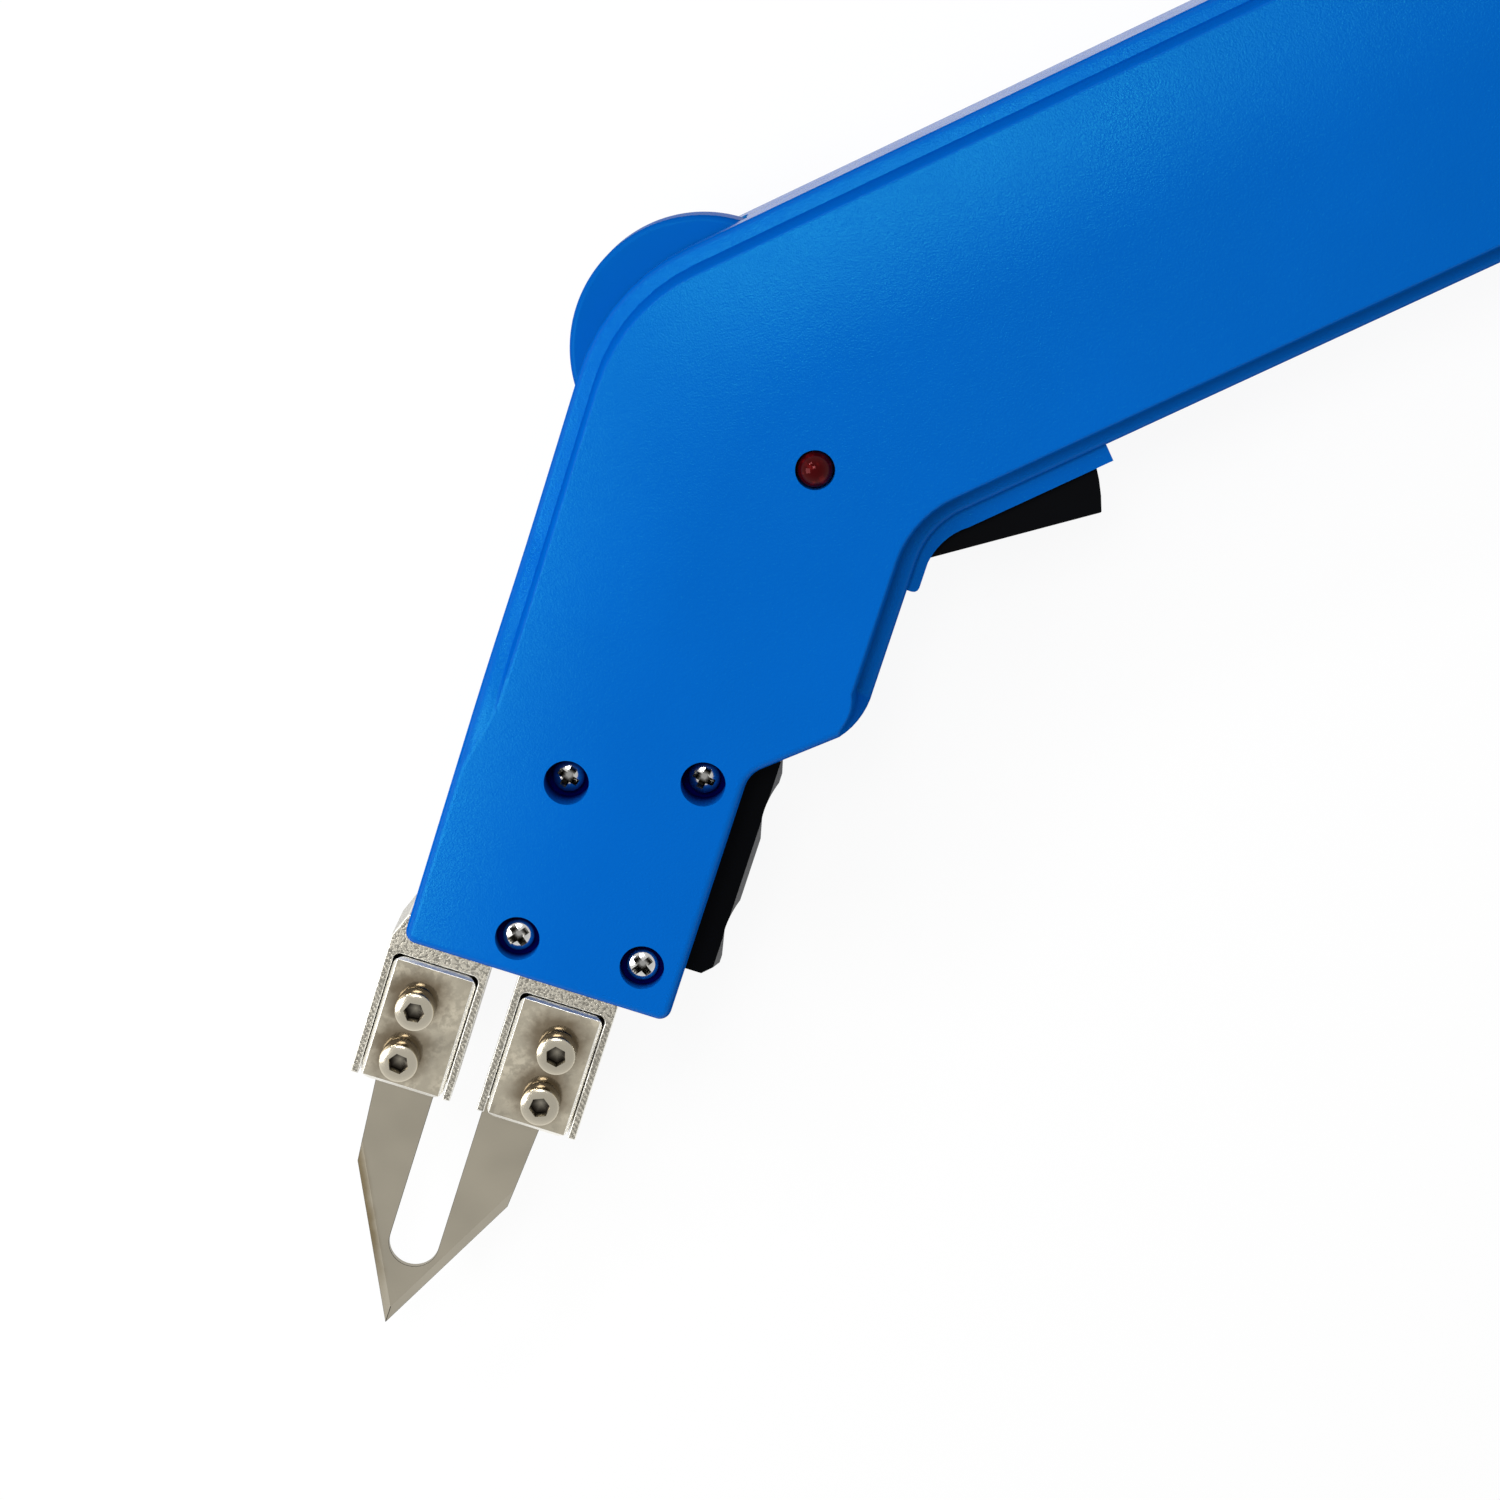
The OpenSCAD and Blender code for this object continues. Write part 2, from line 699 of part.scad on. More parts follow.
module switch_body() {
    color([0.12, 0.12, 0.13]) difference() {
        block([switch_x[0], switch_y[0], board_top], [switch_x[1], switch_y[1], board_top + switch_h]);
        translate([plunger_x, switch_y[0], plunger_z]) rotate([-90, 0, 0])
            translate([0, 0, -over]) cylinder(r = plunger_r + run, h = plunger_bore + over);
    }
}

module switch_plunger() {
    color([0.75, 0.1, 0.08]) translate([plunger_x, plunger_tip, plunger_z]) rotate([-90, 0, 0]) {
        cylinder(r1 = plunger_r / 2, r2 = plunger_r, h = plunger_nose);
        translate([0, 0, plunger_nose])
            cylinder(r = plunger_r, h = switch_y[0] + plunger_in - plunger_tip - plunger_nose);
    }
}

module transformer_core() {
    color([0.35, 0.36, 0.38]) translate([core_x, 0, mid]) difference() {
        block([-core_half, -stack_t / 2, -core_z], [core_half, stack_t / 2, core_z]);
        for (m = [0, 1]) mirror([m, 0, 0])
            block([lam_u, -stack_t, -window_z], [2 * lam_u, stack_t, window_z]);
        for (p = bolt_at) translate([p[0] * lam_u, stack_t, p[1] * lam_u]) rotate([90, 0, 0])
            cylinder(r = bolt_r + run, h = 2 * stack_t);
    }
}

module ring_block(x, y, hx, hy, z0, z1) {
    difference() {
        block([-x, -y, z0], [x, y, z1]);
        block([-hx, -hy, z0 - over], [hx, hy, z1 + over]);
    }
}

module transformer_bobbin() {
    hx = lam_u + run;
    hy = stack_t / 2 + run;
    z = window_z - run;
    color([0.85, 0.83, 0.75]) translate([core_x, 0, mid]) {
        ring_block(hx + tube_t, hy + tube_t, hx, hy, -z, z);
        for (z0 = [-z, z - flange_t])
            ring_block(2 * lam_u - run, coil_y, hx + tube_t - eps, hy + tube_t - eps, z0, z0 + flange_t);
    }
}

module primary_coil() {
    hx = lam_u + 2 * run + tube_t;
    hy = stack_t / 2 + 2 * run + tube_t;
    z = window_z - flange_t - 2 * run;
    r = 1.5;
    color([0.6, 0.3, 0.12]) translate([core_x, 0, mid - z]) linear_extrude(height = 2 * z) difference() {
        polygon(rounded([[coil_x, coil_y, r], [-coil_x, coil_y, r], [-coil_x, -coil_y, r],
                         [coil_x, -coil_y, r]]));
        polygon([[hx, hy], [-hx, hy], [-hx, -hy], [hx, -hy]]);
    }
}

// Centre line corners of the strap from the upper carrier round the core to the lower carrier
strap_path = [
    concat(nose_pt(strap_foot_s[1], carrier_mid - foot_v), 0),
    concat(bend_pt(strap_y, carrier_mid - foot_v), 9),
    [core_x + coil_x + strap_gap + strap_t / 2, strap_y, strap_t / 2 + strap_bend],
    [core_x + coil_x + strap_gap + strap_t / 2, -strap_y, strap_t / 2 + strap_bend],
    concat(bend_pt(-strap_y, carrier_mid + foot_v), 6),
    concat(nose_pt(strap_foot_s[1], carrier_mid + foot_v), 0)
];
strap_line = concat(
    [concat(xy(strap_path[0]), nose_side)],
    [for (i = [1 : 4], p = corner(strap_path, i, 1, 1)) [p[0], p[1], -p[2], -p[3]]],
    [concat(xy(strap_path[5]), -nose_side)]);

module strap_band(z0, z1) {
    n = len(strap_line);
    plate2d(concat([for (p = strap_line) [p[0] + p[2] * strap_t / 2, p[1] + p[3] * strap_t / 2]],
        [for (i = [n - 1 : -1 : 0]) let (p = strap_line[i])
            [p[0] - p[2] * strap_t / 2, p[1] - p[3] * strap_t / 2]]), z0, z1);
}

module secondary_strap() {
    color([0.72, 0.4, 0.2]) difference() {
        union() {
            intersection() {
                strap_band(mid - strap_h / 2, bar_z0 + bar_h);
                block([bar_step, -far, 0], [bar_step + bar_lap, far, body_t]);
            }
            intersection() {
                strap_band(mid - strap_h / 2, mid + strap_h / 2);
                block([bar_step, -far, 0], [handle_len, far, body_t]);
            }
            intersection() {
                strap_band(bar_z0, bar_z0 + bar_h);
                block([-far, -far, 0], [bar_step + bar_lap, far, body_t]);
            }
            in_nose() for (v = [carrier_mid - foot_v, carrier_mid + foot_v])
                block([strap_foot_s[0], v - foot_w / 2, carrier_top],
                      [strap_foot_s[1], v + foot_w / 2, bar_z0 + eps]);
        }
        in_nose() for (v = [carrier_mid - foot_v, carrier_mid + foot_v])
            post([foot_bolt_s, v], foot_bolt_r + seat, carrier_z0, body_t);
        in_nose() for (v = [carrier_mid - foot_v, carrier_mid + foot_v])
            post([foot_bolt_s, v], foot_head_r + loose, foot_head_z, body_t);
    }
}

module strap_screws() {
    color([0.8, 0.7, 0.4]) in_nose() for (v = [carrier_mid - foot_v, carrier_mid + foot_v]) {
        post([foot_bolt_s, v], foot_head_r, foot_head_z, foot_head_z + foot_head_h);
        post([foot_bolt_s, v], foot_bolt_r, carrier_z0 + foot_tip, foot_head_z + eps);
    }
}

module transformer_bolts() {
    y = stack_t / 2;
    color([0.7, 0.71, 0.73]) translate([core_x, 0, mid])
        for (p = bolt_at) translate([p[0] * lam_u, 0, p[1] * lam_u]) rotate([90, 0, 0]) {
            translate([0, 0, -y - bolt_head_h]) cylinder(r = bolt_r, h = 2 * (y + bolt_head_h));
            translate([0, 0, y]) cylinder(r = bolt_head_r, h = bolt_head_h);
            translate([0, 0, -y - bolt_head_h]) cylinder(r = bolt_nut_r, h = bolt_head_h, $fn = 6);
        }
}

// Half of the insulator pair, with grooves for the carrier bars
module insulator(z0, z1) {
    in_nose() difference() {
        block([pocket_s + seat, seat - pocket_v, z0], [block_end, pocket_v - seat, z1]);
        for (m = [0, 1]) carrier_place(m)
            block([0, carrier_gap / 2, carrier_z0], [nose_len, carrier_gap / 2 + shank_w, carrier_top]);
        for (p = nose_screw_at) post(p, screw_d / 2 + seat, 0, body_t);
    }
}

module insulator_left() {
    color([0.3, 0.13, 0.06]) insulator(mid, mid + pocket_z - seat);
}

module insulator_right() {
    color([0.3, 0.13, 0.06]) insulator(mid - pocket_z + seat, mid);
}

// The two carriers are mirror images about the fork line
module carrier_place(m) {
    translate([0, carrier_mid, 0]) mirror([0, 1 - m, 0]) children();
}

module carrier() {
    v0 = carrier_gap / 2;
    v1 = v0 + carrier_w;
    difference() {
        union() {
            block([shank_s, v0, carrier_z0], [carrier_head_s + over, v0 + shank_w, carrier_top]);
            plate2d([[carrier_head_s, v0], [carrier_end, v0], [carrier_end, v1],
                     [carrier_head_s + head_cut[0], v1], [carrier_head_s, v1 - head_cut[1]]],
                    carrier_z0, carrier_top);
        }
        plate2d(rounded([[carrier_end + far, v0 + side_wall, mill_r],
                         [carrier_end + far, v1 - side_wall, mill_r],
                         [pocket_rear, v1 - side_wall, mill_r], [pocket_rear, v0 + side_wall, mill_r]]),
                floor_z, carrier_top + over);
        for (s = cap_s) post([s, cap_v], cap_d / 2, carrier_z0 + cap_tip - tip_room, carrier_top);
        post([foot_bolt_s, foot_v], foot_bolt_r, carrier_z0 + foot_tip - over, carrier_top + over);
    }
}

module carrier_upper() {
    color([0.72, 0.71, 0.68]) in_nose() carrier_place(0) carrier();
}

module carrier_lower() {
    color([0.72, 0.71, 0.68]) in_nose() carrier_place(1) carrier();
}

// Plate with a bevelled upper rim
module clamp_plate() {
    v0 = carrier_gap / 2 + side_wall + plate_gap;
    v1 = carrier_gap / 2 + carrier_w - side_wall - plate_gap;
    s0 = plate_rear;
    b = plate_bevel;
    r = plate_corner;
    difference() {
        plate2d(rounded([[plate_end, v0, r], [plate_end, v1, r], [s0, v1, r], [s0, v0, r]]),
                plate_z0, plate_top);
        for (s = [s0, plate_end]) translate([s, v0 - over, plate_top]) rotate([-90, 0, 0])
            linear_extrude(height = v1 - v0 + 2 * over) polygon([[-b, 0], [0, b], [b, 0], [0, -b]]);
        for (v = [v0, v1]) translate([s0 - over, v, plate_top]) rotate([90, 0, 90])
            linear_extrude(height = plate_l + 2 * over) polygon([[-b, 0], [0, b], [b, 0], [0, -b]]);
        for (s = cap_s) post([s, cap_v], cap_d / 2 + seat, 0, body_t);
    }
}

module clamp_plate_upper() {
    color([0.78, 0.77, 0.74]) in_nose() carrier_place(0) clamp_plate();
}

module clamp_plate_lower() {
    color([0.78, 0.77, 0.74]) in_nose() carrier_place(1) clamp_plate();
}

module cap_screw() {
    difference() {
        union() {
            translate([0, 0, plate_top]) cylinder(r = cap_head_d / 2, h = cap_head_h - cap_edge);
            translate([0, 0, plate_top + cap_head_h - cap_edge])
                cylinder(r1 = cap_head_d / 2, r2 = cap_head_d / 2 - cap_edge, h = cap_edge);
            translate([0, 0, carrier_z0 + cap_tip])
                cylinder(r = cap_d / 2 - press, h = plate_top - carrier_z0 - cap_tip + eps);
        }
        translate([0, 0, plate_top + cap_head_h - hex_deep])
            cylinder(r = hex_af / sqrt(3), h = hex_deep + over, $fn = 6);
    }
}

module clamp_screws() {
    color([0.6, 0.61, 0.63]) in_nose() for (m = [0, 1], s = cap_s)
        carrier_place(m) translate([s, cap_v, 0]) cap_screw();
}

// Forked blade with its two slanted edges ground from both faces
module blade() {
    w = blade_w / 2;
    sw = shoulder_w / 2;
    a = slot_w / 2;
    shift = carrier_mid - blade_mid;
    relief = carrier_gap / 2 + side_wall + plate_gap;
    tongue = cap_v - cap_d / 2 - 0.2;
    neck = carrier_end + 1.3;
    color([0.62, 0.6, 0.56]) in_nose() translate([0, blade_mid, floor_z]) difference() {
        linear_extrude(height = blade_t) difference() {
            polygon([[blade_rear, shift - tongue], [neck, shift - tongue], [neck, -w], [shoulder_s, -sw],
                     [tip_s, tip_v], [shoulder_s, sw], [neck, w], [neck, shift + tongue],
                     [blade_rear, shift + tongue]]);
            translate([blade_rear - over, -a]) square([slot_end_s - blade_rear + over, 2 * a]);
            translate([blade_rear - over, shift - relief])
                square([carrier_end + loose - blade_rear + over, 2 * relief]);
            translate([slot_end_s, 0]) circle(r = a);
        }
        for (side = [-1, 1], face = [0, 1]) ground_face(side, side * sw, face);
    }
}

// Wedge taken off one slanted edge of the blade, on one face
module ground_face(side, edge_v, face) {
    turn_to = atan2(edge_v - tip_v, shoulder_s - tip_s);
    translate([tip_s, tip_v, blade_t / 2]) rotate([0, 0, turn_to]) mirror([0, side < 0 ? 1 : 0, 0])
        mirror([0, 0, face]) translate([-grind_over, 0, bevel_land]) rotate([bevel_deg, 0, 0])
        translate([0, -grind_over, 0]) cube([tip_len + 4 * grind_over, 2 * grind_over, grind_over]);
}

// Black shoe on the lower face of the nose
module guide_shoe() {
    s0 = shoe_s[0];
    s1 = shoe_s[1];
    color([0.03, 0.03, 0.035]) in_nose() difference() {
        plate2d([[s1, shoe_base], [s1, shoe_top - shoe_cut], [s1 - shoe_cut, shoe_top],
                 [s0 + shoe_cut, shoe_top], [s0 + 0.6, shoe_top - 0.4], [s0, shoe_top - 1.4],
                 [s0 + 1.9, shoe_base + 1.4], [s0 + 4.2, shoe_base]], shoe_z[0], shoe_z[1]);
        for (f = [-1, 1]) translate([s0 - over, shoe_top, shoe_z[(f + 1) / 2]]) rotate([90, 0, 90])
            linear_extrude(height = shoe_len + 2 * over)
            polygon([[-2 * shoe_bevel[0], f * shoe_bevel[1]], [shoe_bevel[0], -2 * f * shoe_bevel[1]],
                     [shoe_bevel[0], f * shoe_bevel[1]]]);
        for (s = scallop_s) translate([s, shoe_top - scallop_deep + scallop_r, shoe_z[0] - over])
            cylinder(r = scallop_r, h = shoe_z[1] - shoe_z[0] + 2 * over);
        for (s = scallop_s) translate([s, shoe_base, shoe_screw_z]) rotate([-90, 0, 0]) {
            translate([0, 0, -over]) cylinder(r = shoe_screw_r + seat, h = shoe_top);
            translate([0, 0, shoe_seat]) cylinder(r = shoe_screw_head[0] + slide, h = shoe_top);
        }
    }
}

module shoe_screws() {
    color([0.5, 0.51, 0.53]) in_nose() for (s = scallop_s) translate([s, shoe_base, shoe_screw_z])
        rotate([-90, 0, 0]) {
            translate([0, 0, -shoe_screw_in])
                cylinder(r = shoe_screw_r - press, h = shoe_screw_in + shoe_seat + eps);
            translate([0, 0, shoe_seat]) difference() {
                cylinder(r = shoe_screw_head[0], h = shoe_screw_head[1]);
                translate([0, 0, shoe_screw_head[1] - shoe_hex_deep])
                    cylinder(r = shoe_hex_r, h = shoe_hex_deep + over, $fn = 6);
            }
        }
}

module cable_gland() {
    x1 = handle_len;
    color([0.05, 0.05, 0.055]) translate([0, 0, mid]) rotate([0, 90, 0]) difference() {
        union() {
            translate([0, 0, x1 - wall - gland_flange_t - gland_in])
                cylinder(r = gland_r, h = wall + gland_flange_t + 2 * gland_in);
            translate([0, 0, x1 - wall - gland_flange_t - run])
                cylinder(r = gland_flange_r, h = gland_flange_t);
            translate([0, 0, x1 + run]) cylinder(r = gland_flange_r - gland_trim, h = gland_out);
        }
        translate([0, 0, x1 / 2]) cylinder(r = cable_d / 2, h = x1);
    }
}

module cord_clamp() {
    color([0.85, 0.84, 0.8]) difference() {
        block([clamp_x - clamp_w / 2, -clamp_half, clamp_z0],
              [clamp_x + clamp_w / 2, clamp_half, clamp_z0 + clamp_t]);
        translate([clamp_x - clamp_w, 0, mid]) rotate([0, 90, 0])
            cylinder(r = cable_d / 2 - clamp_bite, h = 2 * clamp_w);
        for (y = [-clamp_post_y, clamp_post_y]) post([clamp_x, y], screw_d / 2 + slide, 0, body_t);
    }
}

module cord_clamp_screws() {
    color([0.7, 0.71, 0.73]) for (y = [-clamp_post_y, clamp_post_y])
        cross_screw([clamp_x, y], clamp_z0 + clamp_t + head_h, clamp_tip);
}

left_housing();
right_housing();
nose_screws();
rear_screws();
temperature_wheel();
potentiometer();
potentiometer_shaft();
control_board();
triac();
capacitor();
indicator_lamp();
trigger();
trigger_pin();
switch_body();
switch_plunger();
transformer_core();
transformer_bobbin();
primary_coil();
secondary_strap();
transformer_bolts();
insulator_left();
insulator_right();
carrier_upper();
carrier_lower();
strap_screws();
clamp_plate_upper();
clamp_plate_lower();
clamp_screws();
blade();
guide_shoe();
shoe_screws();
cable_gland();
cord_clamp();
cord_clamp_screws();
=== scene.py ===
import json
import logging
import math
from dataclasses import dataclass, field
from enum import Enum
from typing import Callable, Iterable, NamedTuple, Sequence

import bmesh
import bpy
from mathutils import Matrix, Vector


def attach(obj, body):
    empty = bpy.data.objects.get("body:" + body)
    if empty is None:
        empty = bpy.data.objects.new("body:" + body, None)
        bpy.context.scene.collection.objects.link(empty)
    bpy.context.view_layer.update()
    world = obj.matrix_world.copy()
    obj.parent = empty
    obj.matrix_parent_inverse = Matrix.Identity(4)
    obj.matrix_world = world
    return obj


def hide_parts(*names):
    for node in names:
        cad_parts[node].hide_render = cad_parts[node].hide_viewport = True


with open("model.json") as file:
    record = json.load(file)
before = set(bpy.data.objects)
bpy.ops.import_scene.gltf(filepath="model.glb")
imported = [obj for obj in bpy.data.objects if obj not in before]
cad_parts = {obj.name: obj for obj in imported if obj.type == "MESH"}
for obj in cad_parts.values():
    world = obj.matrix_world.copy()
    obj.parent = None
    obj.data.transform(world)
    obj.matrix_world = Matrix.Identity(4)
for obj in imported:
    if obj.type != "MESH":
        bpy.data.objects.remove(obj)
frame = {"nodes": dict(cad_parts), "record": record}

LOG = logging.getLogger("hot_knife")
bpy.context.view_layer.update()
MM = 0.001
NOSE_TURN = 47.0
# Mesh attribute that holds the painted shade of recesses: how dark each point is painted.
RECESS_SHADE = "recess"
WELD = 2e-6
FLAT_WITHIN = 0.3
ROUND_FROM = 30.0
ROUND_STRIPS = 2
MIX_FACTOR, MIX_FIRST, MIX_SECOND, MIX_RESULT = 0, 6, 7, 2

Colour = tuple[float, float, float]
Span = tuple[float, float]
Socket = bpy.types.NodeSocket
Node = bpy.types.Node
Material = bpy.types.Material
Piece = bpy.types.Object
Shape = bmesh.types.BMesh


class Body(str, Enum):
    """Bodies that carry the pieces made here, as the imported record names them."""

    FIXED = "body"
    TRIGGER = "trigger"
    WHEEL = "wheel"


class Recess(Enum):
    """Drive recess in the head of a fastener."""

    CROSS = "cross"
    HEX = "hex"


class ScrewPlace(NamedTuple):
    """One screw of a CAD node: centre of its top, radius of its head and whole length, in metres."""

    top: Vector
    radius: float
    length: float


def in_metres(span: Span) -> Span:
    """A span of millimetres in metres."""
    return span[0] * MM, span[1] * MM


class ShaderGraph:
    """One material and short calls that add and wire its nodes."""

    def __init__(self, name: str) -> None:
        """Starts a material with its principled shader.

        Args:
            name: name of the material.
        """
        self.material = bpy.data.materials.new(name)
        self.material.use_nodes = True
        self.tree = self.material.node_tree
        self.shader = self.tree.nodes["Principled BSDF"]
        coordinates = self.add("ShaderNodeTexCoord")
        self.place = coordinates.outputs["Object"]
        self.facing = coordinates.outputs["Normal"]

    def add(self, kind: str, **settings: object) -> Node:
        """Adds a node and sets its properties.

        Args:
            kind: node type.
            settings: property names and values.

        Returns:
            The new node.
        """
        node = self.tree.nodes.new(kind)
        for key, value in settings.items():
            setattr(node, key, value)
        return node

    def wire(self, source: Socket, target: Socket) -> None:
        """Links an output to an input."""
        self.tree.links.new(source, target)

    def feed(self, value: Socket | Colour | float, target: Socket) -> None:
        """Links a varying value to an input, or sets one that is the same all over.

        Args:
            value: output, colour or number.
            target: input that takes it.
        """
        if isinstance(value, Socket):
            self.wire(value, target)
        else:
            target.default_value = (*value, 1.0) if isinstance(value, tuple) else value

    def set(self, **values: Colour | float) -> None:
        """Sets sockets of the shader that are the same all over."""
        for key, value in values.items():
            self.feed(value, self.shader.inputs[key.replace("_", " ").title().replace("Ior", "IOR")])

    def turned(self, degrees: float, scale: Sequence[float] = (1, 1, 1),
               shift: Sequence[float] = (0, 0, 0)) -> Socket:
        """Object coordinates turned about Z and stretched.

        Args:
            degrees: turn of the pattern.
            scale: stretch on the turned axes.
            shift: offset in metres, taken off before the turn.

        Returns:
            The vector output.
        """
        move = self.add("ShaderNodeMapping", vector_type="POINT")
        move.inputs["Location"].default_value = [-v for v in shift]
        self.wire(self.place, move.inputs["Vector"])
        turn = self.add("ShaderNodeMapping", vector_type="TEXTURE")
        turn.inputs["Rotation"].default_value = (0, 0, math.radians(degrees))
        self.wire(move.outputs["Vector"], turn.inputs["Vector"])
        size = self.add("ShaderNodeMapping", vector_type="POINT")
        size.inputs["Scale"].default_value = scale
        self.wire(turn.outputs["Vector"], size.inputs["Vector"])
        return size.outputs["Vector"]

    def noise(self, scale: float, detail: float = 2.0, vector: Socket | None = None) -> Socket:
        """Noise on object coordinates.

        Args:
            scale: waves per metre.
            detail: octaves.
            vector: other coordinates to use.

        Returns:
            The factor output.
        """
        node = self.add("ShaderNodeTexNoise")
        node.inputs["Scale"].default_value = scale
        node.inputs["Detail"].default_value = detail
        self.wire(vector or self.place, node.inputs["Vector"])
        return node.outputs["Fac"]

    def spread(self, source: Socket, low: float = 0.0, high: float = 1.0, span: Span = (0.3, 0.7)) -> Socket:
        """Maps a factor smoothly onto a range of values.

        Args:
            source: factor to map.
            low: value at the start of the span.
            high: value at the end of the span.
            span: factors between which the value changes.

        Returns:
            The mapped output.
        """
        node = self.add("ShaderNodeMapRange", clamp=True, interpolation_type="SMOOTHSTEP")
        for key, value in zip(("From Min", "From Max", "To Min", "To Max"), (*span, low, high)):
            node.inputs[key].default_value = value
        self.wire(source, node.inputs["Value"])
        return node.outputs["Result"]

    def blend(self, factor: Socket, low: Colour | Socket, high: Colour | Socket) -> Socket:
        """Mixes two colours by a factor.

        Args:
            factor: share of the second colour.
            low: first colour.
            high: second colour.

        Returns:
            The colour output.
        """
        node = self.add("ShaderNodeMix", data_type="RGBA")
        for index, value in ((MIX_FACTOR, factor), (MIX_FIRST, low), (MIX_SECOND, high)):
            self.feed(value, node.inputs[index])
        return node.outputs[MIX_RESULT]

    def coat(self, share: Socket, colour: Colour) -> None:
        """Lays a colour over the base colour that is already there.

        Args:
            share: 1 where the new colour shows, 0 where it doesn't.
            colour: the new colour.
        """
        base = self.shader.inputs["Base Color"]
        self.wire(self.blend(share, base.links[0].from_socket, colour), base)

    def maths(self, operation: str, *values: Socket | float) -> Socket:
        """One step of arithmetic on varying values.

        Args:
            operation: name of the operation.
            values: what it works on, in order.

        Returns:
            The result output.
        """
        node = self.add("ShaderNodeMath", operation=operation)
        for value, target in zip(values, node.inputs):
            self.feed(value, target)
        return node.outputs[0]

    def axis(self, vector: Socket, name: str) -> Socket:
        """One component of a vector."""
        node = self.add("ShaderNodeSeparateXYZ")
        self.wire(vector, node.inputs["Vector"])
        return node.outputs[name]

    def upright(self) -> Socket:
        """How far a face lies level, from 0 on a wall to 1 on a floor or ceiling."""
        return self.maths("ABSOLUTE", self.axis(self.facing, "Z"))

    def relief(self, height: Socket, distance: float, strength: float) -> None:
        """Adds a bump on top of the bumps already there.

        Args:
            height: factor that is high where the surface is raised.
            distance: height of the relief in metres.
            strength: share of the relief that shows.
        """
        bump = self.add("ShaderNodeBump")
        bump.inputs["Distance"].default_value = distance
        bump.inputs["Strength"].default_value = strength
        self.wire(height, bump.inputs["Height"])
        socket = self.shader.inputs["Normal"]
        if socket.is_linked:
            self.wire(socket.links[0].from_socket, bump.inputs["Normal"])
        self.wire(bump.outputs["Normal"], socket)


@dataclass(frozen=True)
class Finish:
    """A surface: its record slot, colour, gloss, patches, a grain with its depth in millimetres, and the
    painted shade colour of its recesses.
    """

    slot: str
    colour: Colour
    roughness: float = 0.45
    metallic: float = 0.0
    specular: float = 0.5
    mottle: float = 0.06
    cloud: float = 38.0
    wear: float = 0.08
    wear_scale: float = 90.0
    grain: float = 2500.0
    depth: float = 0.02
    # Painted shade colour at the bottom of recesses, or None for none.
    deep: Colour | None = None

    def tone(self, share: float) -> Colour:
        """The colour made lighter or darker."""
        return tuple(min(1.0, c * share) for c in self.colour)

    def shade(self, graph: ShaderGraph) -> None:
        """Adds what is special to this finish.

        Args:
            graph: material under way.
        """

    def build(self) -> Material:
        """Makes the material of this finish.

        Returns:
            The material.
        """
        graph = ShaderGraph(self.slot)
        graph.set(metallic=self.metallic, specular_ior_level=self.specular)
        patches = graph.spread(graph.noise(self.cloud, 3.0))
        mottled = graph.blend(patches, self.tone(1 - self.mottle), self.tone(1 + self.mottle))
        graph.wire(mottled, graph.shader.inputs["Base Color"])
        smooth, rough = self.roughness * (1 - self.wear), self.roughness * (1 + self.wear)
        worn = graph.spread(graph.noise(self.wear_scale), smooth, rough)
        graph.wire(worn, graph.shader.inputs["Roughness"])
        graph.relief(graph.noise(self.grain, 3.0), self.depth * MM, 0.5)
        self.shade(graph)
        if self.deep is not None:
            self.paint_recess_shade(graph, self.deep)
        return graph.material

    def paint_recess_shade(self, graph: ShaderGraph, deep: Colour) -> None:
        """Paints shade on what lies deep in a recess, and takes its gloss away.

        Args:
            graph: material under way.
            deep: painted shade colour at the bottom of a recess.
        """
        # Paints shade into recesses by the stored attribute and takes their gloss away.
        marked = graph.add("ShaderNodeAttribute", attribute_name=RECESS_SHADE).outputs["Fac"]
        share = graph.spread(marked, span=(0.0, 1.0))
        graph.coat(share, deep)
        self.dull(graph, graph.maths("SUBTRACT", 1.0, share))

    def dull(self, graph: ShaderGraph, share: Socket) -> None:
        """Keeps only a share of the gloss.

        Args:
            graph: material under way.
            share: 1 where the gloss stays, 0 where it goes.
        """
        socket = graph.shader.inputs["Specular IOR Level"]
        level = socket.links[0].from_socket if socket.is_linked else self.specular
        graph.wire(graph.maths("MULTIPLY", share, level), socket)


